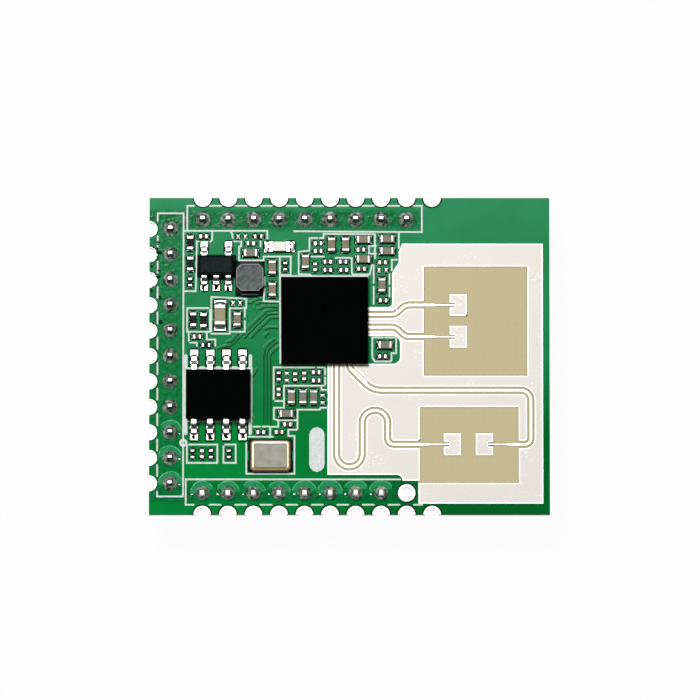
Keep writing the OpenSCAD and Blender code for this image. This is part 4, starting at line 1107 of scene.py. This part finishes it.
# Rim round a plated-through hole, as shares of the way in to its middle
VIA_RIM = [(0.0, 0.0), (0.1, 0.013), (0.28, 0.023), (1.1, 0.036)]
VIAS, VIA_MIDDLE = [(-7.5, -4.25, 0.15), (-7.45, -4.9, 0.25), (-7.5, 3.8, 0.2)], 0.05
# Flux over the plated ring round each joint, in the same way
SKIRT_REACH = 0.87
SKIRT = [(0.0, 0.0045), (1.2, 0.005)]
FLUX_SIDES, FLUX_WAVER = 40, 0.05


def round_rectangle(low, high, grow, steps=4):
    """Outline in millimetres of a box's plan, grown on all sides and round at the corners."""
    x0, y0, x1, y1 = low.x / MM, low.y / MM, high.x / MM, high.y / MM
    points = []
    for x, y, first in ((x1, y1, 0), (x0, y1, 90), (x0, y0, 180), (x1, y0, 270)):
        for k in range(steps + 1):
            turn = math.radians(first + 90 * k / steps)
            points.append(Vector((x + grow * math.cos(turn), y + grow * math.sin(turn))))
    return points


def film_outline(centre, reach, share, foot, waver):
    """Outline in millimetres of the film round a pin or hole, part of the way in to its foot."""
    points = []
    for k in range(FLUX_SIDES):
        turn = 2 * math.pi * k / FLUX_SIDES
        rim = reach * (1 + FLUX_WAVER * waver(turn))
        radius = rim + (foot - rim) * share
        points.append(centre.xy / MM + radius * Vector((math.cos(turn), math.sin(turn))))
    return points


banks = bmesh.new()
for low, high in pads:
    add_collar(banks, [(round_rectangle(low, high, grow), height) for grow, height in PAD_BANK])
for node, foot in JOINT_FEET.items():
    for centre in pin_places[node]:
        waver = wavers(3)
        add_collar(banks, [
            (film_outline(centre, SKIRT_REACH, share, foot, waver), height) for share, height in SKIRT])
for x, y, radius in VIAS:
    middle = Vector((x, y)) * MM
    add_collar(banks, [
        (film_outline(middle, radius, share, VIA_MIDDLE, wavers(1)), height) for share, height in VIA_RIM])
make_piece("mask_banks", banks, mask_finish, smooth=True)

# %% [markdown]
# On the far side of the bottom pins and of the lowest pins on the left, a pale film with a bright rim
# is painted sheen and highlight, where the light catches the raised rings round the pins. A splash of
# solder lies beside each.

# %% Painted sheen round the pins
# Only the lower pins of the left row get the painted film
NO_FILM_ABOVE = -5 * MM
FILM_REACH, FILM_SPREAD = {"left_solder_joints": 0.96, "bottom_solder_joints": 0.98}, (0.93, 1.03)
# Where a film begins and ends round its pin, in degrees
FILM_FIRST, FILM_LAST, FILM_STEPS = (-10, 25), (150, 190), 24
FILM_HEIGHT, FILM_HIGHLIGHT_WIDTH, FILM_HIGHLIGHT_HEIGHT = 0.006, 0.07, 0.01
SPLASH_SIDE = {"left_solder_joints": 0.74, "bottom_solder_joints": -0.8}
SPLASH_DOWN, SPLASH_RADII, SPLASH_SPREAD = -0.12, Vector((0.1, 0.07, 0.04)), (0.7, 1.2)
# Painted sheen and highlight: a paler green, brightest at the rim
film_sheen_finish = speckled_solid("painted_film_sheen", 0.4, "#0f8d4c", "#2ba267", 0.4, 0.01, 0.04)
film_highlight_finish = speckled_solid("painted_film_highlight", 0.4, "#2f9c63", "#7dd2a6", 0.35, 0.01, 0.05)
sheen_films, film_highlights, splashes = bmesh.new(), bmesh.new(), bmesh.new()
for node, reach in FILM_REACH.items():
    for centre in pin_places[node]:
        if centre.y > NO_FILM_ABOVE:
            continue
        waver, size = wavers(4), reach * chance.uniform(*FILM_SPREAD)
        first, last = [math.radians(chance.uniform(*span)) for span in (FILM_FIRST, FILM_LAST)]
        turns = [first + (last - first) * k / FILM_STEPS for k in range(FILM_STEPS + 1)]
        radii = [size * (1 + FLUX_WAVER * waver(a)) for a in turns]
        arc = [centre.xy / MM + r * Vector((math.cos(a), math.sin(a))) for a, r in zip(turns, radii)]
        add_slab(sheen_films, arc, FILM_HEIGHT)
        add_slab(film_highlights, stroke_outline(arc[2:-2], FILM_HIGHLIGHT_WIDTH), FILM_HIGHLIGHT_HEIGHT)
        drop = centre + Vector((SPLASH_SIDE[node], SPLASH_DOWN, 0)) * MM
        drop.z = MASK_TOP
        add_lump(splashes, drop, SPLASH_RADII * chance.uniform(*SPLASH_SPREAD) * MM)
make_piece("painted_sheen_films", sheen_films, film_sheen_finish)
make_piece("painted_film_highlights", film_highlights, film_highlight_finish)
make_piece("solder_splashes", splashes, pad_finish, smooth=True)

# %% [markdown]
# The seal ring of the crystal is rounded too: nested outlines give it a sloping outer side, a level
# top and a small step down to the lid.

# %% Rounded seal ring
RING_CORNER, CORNER_SHRINK = 0.24, 0.3
# Distance in from the outer edge and share of the ring's height, the first two steps in the tan of a
# painted shade
RING_PROFILE = [(0, 0), (0.01, 0.7), (0.09, 0.95), (0.2, 1), (0.235, 0.6)]
ring_base = (RING_LOW.z - MASK_TOP) / MM
ring_rise = (RING_HIGH.z - RING_LOW.z) / MM


def ring_outline(step):
    """Outline of the ring at a distance in from its edge, with corners that stay round."""
    corner = RING_CORNER - CORNER_SHRINK * step
    inset = Vector((step + corner, step + corner, 0)) * MM
    return round_rectangle(RING_LOW + inset, RING_HIGH - inset, corner)


ring = bmesh.new()
add_collar(ring, [(ring_outline(step), ring_base + ring_rise * lift) for step, lift in RING_PROFILE])
seal_ring = make_piece("rounded_seal_ring", ring, gold_finish)
# Painted shade on the ring's sloping side: tan, without shine
shaded_gold_slope = speckled_solid("painted_shade_gold_slope", 0.5, "#b0945e", "#cdb37c", 0.3, 0.004, 0.05)
seal_ring.data.materials.append(shaded_gold_slope)
outer_faces = 2 * len(ring_outline(0))
for face in seal_ring.data.polygons[:outer_faces]:
    face.material_index = 1
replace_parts(seal_ring, "crystal_seal_ring")

# %% [markdown]
# Wherever the mask opens at a pad or a hole it thins out over a few hundredths of a millimetre and
# leaves a dark line. Here that line is drawn wider and darker, so it is partly painted shade round the
# parts. The openings are read from the loaded mask: an edge that belongs to only one of its top faces
# lies on a border, and edges that follow each other make a loop. The wide opening over the antennas has
# no such line, because copper lies under its whole edge. At the left half holes the mask laps a little
# over the plated rings.

# %% Dark rims of the mask
RIM_WIDTH = 0.12
# Heights of strips above the face under them, with steps so that strips that cross share no level
STRIP_LIFT, RIM_LIFT = 0.002, 0.003
STRIP_STEP, STRIP_LEVELS = 0.0002, 5
WIDEST_OPENING = 3
LEFT_RINGS, RING_LAP = -14.6, 0.06
# Least upward share of a top face's direction, and how near it has to be to a level
TOP_FACE, SAME_LEVEL = 0.9, 0.001 * MM


def border_edges(name, level):
    """Borders of a node's faces at one level, in millimetres, with the faces on their left."""
    data = nodes[name].data
    keys = corner_keys(data)
    single = {}
    for face in data.polygons:
        if face.normal.z < TOP_FACE or abs(face.center.z - level) > SAME_LEVEL:
            continue
        ring = list(face.vertices)
        for a, b in zip(ring, ring[1:] + ring[:1]):
            pair = frozenset((keys[a], keys[b]))
            if pair in single:
                del single[pair]
            else:
                single[pair] = (data.vertices[a].co.xy / MM, data.vertices[b].co.xy / MM)
    return list(single.values())


def spot_key(spot):
    """A key for a point in millimetres, the same for points in one place."""
    return round(spot.x, 4), round(spot.y, 4)


def loops_of(edges):
    """Border edges sorted into loops, each in the order in which its edges follow."""
    follow = {spot_key(a): (a, b) for a, b in edges}
    loops = []
    while follow:
        loop = [follow.pop(next(iter(follow)))]
        while spot_key(loop[-1][1]) in follow:
            loop.append(follow.pop(spot_key(loop[-1][1])))
        loops.append(loop)
    return loops


def widest(loop):
    """The longer side of the box round a loop, in millimetres."""
    return max(max(a[k] for a, _ in loop) - min(a[k] for a, _ in loop) for k in (0, 1))


def on_outline(spot):
    """Whether a point in millimetres lies on the straight outer edges of the board."""
    near = 0.01
    x_off = min(abs(spot.x - BOARD_LOW.x / MM), abs(spot.x - BOARD_HIGH.x / MM))
    y_off = min(abs(spot.y - BOARD_LOW.y / MM), abs(spot.y - BOARD_HIGH.y / MM))
    return min(x_off, y_off) < near


def add_strips(mesh, edges, width, level):
    """Flat strips along border edges, of a width to their left in millimetres, at a height in metres."""
    for k, (a, b) in enumerate(edges):
        aside = side_of((b - a).normalized()) * width
        height = level + STRIP_STEP * (k % STRIP_LEVELS) * MM
        corners = (a, b, b + aside, a + aside)
        mesh.faces.new([mesh.verts.new((p.x * MM, p.y * MM, height)) for p in corners])


def on_board(spot):
    """A point in millimetres, brought back to the board's left edge where it lies outside."""
    return Vector((max(spot.x, BOARD_LOW.x / MM), spot.y))


# Resin with hardly any ink over it, and painted shade round the parts: nearly black
rim_finish = speckled_solid("resin_gap_and_painted_shade", 0.7, "#0c2415", "#15301d", 0.2, 0.004, 0.1)
rims, laps = bmesh.new(), bmesh.new()
inner_edges = [
    (a, b) for a, b in border_edges("top_solder_mask", MASK_TOP)
    if not on_outline(a) or not on_outline(b)
]
for loop in loops_of(inner_edges):
    if max(a.x for a, _ in loop) < LEFT_RINGS:
        shifts = [side_of((b - a).normalized()) * RING_LAP for a, b in loop]
        lapped = [(on_board(a - shift), on_board(b - shift)) for (a, b), shift in zip(loop, shifts)]
        add_strips(laps, lapped, RING_LAP + RIM_WIDTH, MASK_TOP + STRIP_LIFT * MM)
        add_strips(rims, lapped, RIM_WIDTH / 2, MASK_TOP + RIM_LIFT * MM)
    elif widest(loop) < WIDEST_OPENING:
        add_strips(rims, loop, RIM_WIDTH, MASK_TOP + RIM_LIFT * MM)
make_piece("mask_rims", rims, rim_finish)
make_piece("mask_laps", laps, mask_finish)

# %% [markdown]
# A dark line about a tenth of a millimetre wide round each part is painted shade: the shade that sets
# a part off its board, laid down as a thin dark sheet. The same painted shade lies under the shoulders
# of the memory chip's leads and below the regulator, between its lower leads. Under the shoulders of
# the memory chip's leads the mask also reaches over the pads, up to the heels.

# %% Painted shade round the parts and covered pads
SHADE_REACH, LEAD_SHADE_REACH, SHADE_HEIGHT = 0.1, 0.04, 0.002
COVER_HEIGHT = 0.006
COVERED_FROM, TOE_COVER = 0.56, 0.07
# Painted shadow of the regulator between its lower leads: free ends, reach, rounding and height
SHADOW_LEFT, SHADOW_RIGHT, SHADOW_DOWN, SHADOW_ROUND, SHADOW_HEIGHT = 0.75, 0.25, 0.3, 0.03, 0.003
BODIES = [
    "large_capacitor_body", "brown_capacitor_bodies", "grey_capacitor_bodies", "small_capacitor_bodies",
    "resistor_bodies", "small_resistor_bodies", "inductor_core", "lamp_base", "regulator_body",
    "crystal_base",
]
shade_sheets, covers_made = bmesh.new(), bmesh.new()
for node in BODIES:
    for low, high in loose_boxes(node):
        add_slab(shade_sheets, round_rectangle(low, high, SHADE_REACH), SHADE_HEIGHT)
regulator_low, regulator_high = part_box("regulator_body")
shadow_low = Vector((regulator_low.x + SHADOW_LEFT * MM, regulator_low.y - SHADOW_DOWN * MM))
shadow_high = Vector((regulator_high.x - SHADOW_RIGHT * MM, regulator_low.y))
add_slab(shade_sheets, round_rectangle(shadow_low, shadow_high, SHADOW_ROUND), SHADOW_HEIGHT)
for lead in lead_boxes["memory_chip_leads"]:
    pad, sign, tip = lead_foot(lead)
    inner, outer = (pad[0].y, pad[1].y) if sign > 0 else (pad[1].y, pad[0].y)
    heel = tip - sign * COVERED_FROM * MM
    for a, b in ((inner, heel), (outer - sign * TOE_COVER * MM, outer)):
        low, high = min(a, b), max(a, b)
        corners = ((pad[1].x, high), (pad[0].x, high), (pad[0].x, low), (pad[1].x, low))
        add_slab(covers_made, [Vector(corner) / MM for corner in corners], COVER_HEIGHT)
    # Painted shade under the shoulder of the lead
    under_low = Vector((lead[0].x, min(inner, heel)))
    under_high = Vector((lead[1].x, max(inner, heel)))
    add_slab(shade_sheets, round_rectangle(under_low, under_high, LEAD_SHADE_REACH), 2 * COVER_HEIGHT)
# Painted shade round the parts, also the finish of the crumbs of burnt flux below: dark green, matt
flux_and_shade_finish = speckled_solid("dried_flux_and_painted_shade", 0.7, "#01200d", "#052b14", 0.2, 0.004, 0.05)
make_piece("painted_shade_lines", shade_sheets, flux_and_shade_finish)
make_piece("mask_over_pads", covers_made, mask_finish)

# %% [markdown]
# The iron left crumbs of burnt flux between the half holes and the upper pins of the left row. Each
# crumb is a few overlapping lumps: its middle and its size in millimetres are listed.

# %% Crumbs of burnt flux
CRUMBS = [
    (-15.0, 8.9, 0.13), (-15.15, 8.45, 0.1), (-14.9, 8.2, 0.18), (-15.05, 7.75, 0.08), (-14.95, 6.7, 0.1),
    (-15.0, 6.2, 0.13), (-15.5, 5.1, 0.1), (-14.9, 4.6, 0.12), (-14.8, 2.7, 0.15), (-15.5, 7.05, 0.09),
    (-15.57, 8.64, 0.06), (-15.38, 8.55, 0.06), (-15.12, 8.25, 0.06), (-15.09, 7.85, 0.06),
    (-15.2, 7.62, 0.06), (-15.55, 7.39, 0.06), (-15.5, 6.6, 0.06), (-15.24, 6.43, 0.06),
    (-15.4, 5.44, 0.06), (-15.26, 3.55, 0.06), (-15.38, 2.54, 0.06),
]
CRUMB_PARTS, CRUMB_SCATTER = 4, 0.8
# Length, width and height of a lump as shares of its crumb's size
CRUMB_LONG, CRUMB_WIDE, CRUMB_HIGH = (0.5, 1), (0.4, 0.7), 0.3
crumbs = bmesh.new()
for x, y, size in CRUMBS:
    for _ in range(CRUMB_PARTS):
        aside = Vector((chance.uniform(-1, 1), chance.uniform(-1, 1))) * CRUMB_SCATTER * size
        spot = Vector(((x + aside.x) * MM, (y + aside.y) * MM, MASK_TOP))
        spot.x = max(spot.x, BOARD_LOW.x + size * MM)
        radii = Vector((chance.uniform(*CRUMB_LONG), chance.uniform(*CRUMB_WIDE), CRUMB_HIGH))
        add_lump(crumbs, spot, radii * size * MM)
make_piece("flux_crumbs", crumbs, flux_and_shade_finish, smooth=True)

# %% [markdown]
# The pale edges of the inductor's flanges are painted highlight, where the light catches their
# rims. The strips that drew the mask's rims draw them too.

# %% Edges of the inductor
EDGE_HIGHLIGHT = 0.045
# Only the near side of the lower flange shows: its edge lies this close to the core's limit
NEAR_SIDE = 0.01
core_low, core_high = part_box("inductor_core")
foot_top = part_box("inductor_winding")[0].z
south = [
    (a, b) for a, b in border_edges("inductor_core", foot_top)
    if max(a.y, b.y) < core_low.y / MM + NEAR_SIDE
]
flange_highlights, foot_highlight = bmesh.new(), bmesh.new()
add_strips(flange_highlights, border_edges("inductor_core", core_high.z), EDGE_HIGHLIGHT, core_high.z + STRIP_LIFT * MM)
add_strips(foot_highlight, south, EDGE_HIGHLIGHT, foot_top + STRIP_LIFT * MM)
# Painted highlights: pale along the upper flange's edge, grey along the near edge of the lower one
flange_highlight_finish = speckled_solid("painted_flange_highlight", 0.6, "#8d9492", "#c3c8c6", 0.2, 0.004, 0.3)
foot_highlight_finish = speckled_solid("painted_foot_highlight", 0.5, "#3c403f", "#7b807e", 0.2, 0.004, 0.3)
make_piece("inductor_edges", flange_highlights, flange_highlight_finish)
make_piece("inductor_foot_edge", foot_highlight, foot_highlight_finish)

# %% [markdown]
# Dark strips along the regulator's edges are painted shade of its sloping flanks, widest along the lower
# one.

# %% Edges of the regulator
SHADED_EDGE, SHADED_BELOW, SHADED_FROM = 0.07, 0.2, 0.05
# The strips cross at the corners, so each lies a step higher than the one before
SHADED_STEP = 0.001
flank_shade = bmesh.new()
for k, (a, b) in enumerate(border_edges("regulator_body", regulator_high.z)):
    start = side_of((b - a).normalized()) * SHADED_FROM
    below = max(a.y, b.y) * MM < regulator_low.y + SHADED_EDGE * MM
    level = regulator_high.z + (STRIP_LIFT + SHADED_STEP * k) * MM
    add_strips(flank_shade, [(a + start, b + start)], SHADED_BELOW if below else SHADED_EDGE, level)
# Painted shade on the mould compound: almost black, matt
flank_shade_finish = speckled_solid("painted_flank_shade", 0.8, "#030506", "#0a0f10", 0.2, 0.004, 0.02)
make_piece("regulator_edges", flank_shade, flank_shade_finish)

# %% [markdown]
# Each patch and line of copper has a white border, a painted highlight where the light catches its
# rounded edge, and the resin just outside it carries a painted shadow of the copper. The same strips
# show both, one on the copper and one on the laminate beside it.

# %% Edges of the antenna copper
COPPER_HIGHLIGHT = 0.1
COPPER_SHADOW = 0.05
# Painted highlight on the copper's edge: whiter and more even than the faces
copper_highlight_finish = mottled_metal("painted_copper_highlight", 0.6, "#f6f4ee", "#fdfcf9", 0.3, 0.002)
# Painted shadow of the copper on the resin
copper_shadow_finish = speckled_solid("painted_copper_shadow", 0.75, "#8d7f52", "#9a8c5e", 0.2, 0.004, 0.1)
copper_highlights, darkened = bmesh.new(), bmesh.new()
for node in SILVERED:
    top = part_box(node)[1].z
    edges = border_edges(node, top)
    add_strips(copper_highlights, edges, COPPER_HIGHLIGHT, top + RIM_LIFT * MM)
    add_strips(darkened, edges, -COPPER_SHADOW, BOARD_HIGH.z + STRIP_LIFT * MM)
make_piece("copper_edge_highlights", copper_highlights, copper_highlight_finish)
make_piece("copper_edge_shadows", darkened, copper_shadow_finish)

# %% [markdown]
# The narrow slits beside the feeds of the two lower patches lie in the shade of the copper, painted as a
# dark fill.

# %% Slits of the lower patches
SLIT_SPANS = [(7.38, 7.76), (10.89, 11.27)]
SLIT_MIDS = [-6.79, -7.04]
SLIT_WIDTH, SLIT_FILL = 0.11, 0.03
slit_shade = bmesh.new()
for first, last in SLIT_SPANS:
    for y in SLIT_MIDS:
        add_slab(slit_shade, stroke_outline([(first, y), (last, y)], SLIT_WIDTH), SLIT_FILL, BOARD_HIGH.z)
# Painted shade in the slits: dark brown, matt
slit_shade_finish = speckled_solid("painted_slit_shade", 0.8, "#2c2820", "#443e33", 0.2, 0.004, 0.03)
make_piece("slit_shades", slit_shade, slit_shade_finish)

# %% [markdown]
# ## Stage
# The floor is white paper that shows as white to the camera and in metal, and still takes a little
# of the object's shadow. A lamp strong enough to whiten it would also bleach the board, so for the
# rays of the camera and of mirrors most of the paper is replaced by a plain white glow.

# %% Floor
FLOOR_SIZE = 3.0
PAPER_GLOW = 0.96


def white_paper():
    """Matt white paper, lifted to plain white for the camera and in reflections."""
    finish = bpy.data.materials.new("white_backdrop_paper")
    finish.use_nodes = True
    tree = finish.node_tree
    tree.nodes.clear()
    path = add_node(tree, "LightPath").outputs
    seen = add_node(tree, "Math", {0: path["Is Camera Ray"], 1: path["Is Glossy Ray"]}, operation="MAXIMUM")
    shown = add_node(tree, "Math", {0: seen, 1: path["Is Transmission Ray"]}, operation="MAXIMUM")
    share = add_node(tree, "Math", {0: shown, 1: PAPER_GLOW}, operation="MULTIPLY")
    paper = add_node(tree, "BsdfDiffuse", {"Color": "#f4f3f2"})
    glow = add_node(tree, "Emission", {"Color": "#ffffff", "Strength": 1})
    mix = add_node(tree, "MixShader", {0: share, 1: paper, 2: glow})
    add_node(tree, "OutputMaterial", {"Surface": mix})
    return finish


bpy.ops.mesh.primitive_plane_add(size=FLOOR_SIZE, location=(0, 0, 0))
floor = bpy.context.object
floor.name = "floor"
floor.data.materials.append(white_paper())
print("floor of", FLOOR_SIZE, "m")

# %% [markdown]
# The light comes from a soft box beyond the upper edge, in a bright room. The room is brighter
# overhead than at the horizon, so that level metal shines and steep metal stays darker.

# %% Room light and soft box
ROOM_ZENITH = 0.15
ROOM_HORIZON = 0.03
KEY_WATTS = 1.21
KEY_PLACE = Vector((-0.055, 0.115, 0.38))
KEY_SIZE = (0.11, 0.09)

world = bpy.data.worlds.new("studio_room")
bpy.context.scene.world = world
world.use_nodes = True
sky = world.node_tree
sky.nodes.clear()
direction = add_node(sky, "TexCoord").outputs["Generated"]
upward = add_node(sky, "SeparateXYZ", {"Vector": direction}).outputs["Z"]
level = add_node(sky, "MapRange", {
    "Value": upward, "From Min": 0.0, "From Max": 1.0, "To Min": ROOM_HORIZON, "To Max": ROOM_ZENITH})
room = add_node(sky, "Background", {"Color": "#ffffff", "Strength": level})
add_node(sky, "OutputWorld", {"Surface": room})

key_data = bpy.data.lights.new("soft_box", "AREA")
key_data.shape = "RECTANGLE"
key_data.size, key_data.size_y = KEY_SIZE
key_data.energy = KEY_WATTS
key = bpy.data.objects.new("soft_box", key_data)
bpy.context.scene.collection.objects.link(key)
key.location = KEY_PLACE
key.rotation_euler = (Vector((0, 0, MASK_TOP)) - KEY_PLACE).to_track_quat("-Z", "Y").to_euler()
print("lights: room", ROOM_ZENITH, "soft box", KEY_WATTS, "W")

# %% [markdown]
# The photograph looks almost straight down, tilted some 5 degrees towards the lower edge, from
# far enough away that nothing converges. A long lens does the same here, and its length follows
# from the number of pixels that a millimetre of the board takes up in the photograph.

# %% Camera
FRAME_PX = 700
PX_PER_MM = 12.75
BOARD_CENTRE_PX = (349.45, 356)
CAMERA_TILT = math.radians(4.5)
CAMERA_DISTANCE = 0.5
SENSOR = 36

camera_data = bpy.data.cameras.new("camera")
camera = bpy.data.objects.new("camera", camera_data)
bpy.context.scene.collection.objects.link(camera)
bpy.context.scene.camera = camera
camera_data.sensor_width = SENSOR
camera_data.lens = SENSOR * CAMERA_DISTANCE / (FRAME_PX / PX_PER_MM * MM)
aim = Vector((
    (FRAME_PX / 2 - BOARD_CENTRE_PX[0]) / PX_PER_MM * MM,
    (BOARD_CENTRE_PX[1] - FRAME_PX / 2) / PX_PER_MM * MM,
    MASK_TOP,
))
back = Vector((0, -math.sin(CAMERA_TILT), math.cos(CAMERA_TILT)))
camera.location = aim + back * CAMERA_DISTANCE
camera.rotation_euler = (-back).to_track_quat("-Z", "Y").to_euler()
print("camera lens", round(camera_data.lens), "mm")

bpy.context.scene.view_settings.view_transform = "Standard"
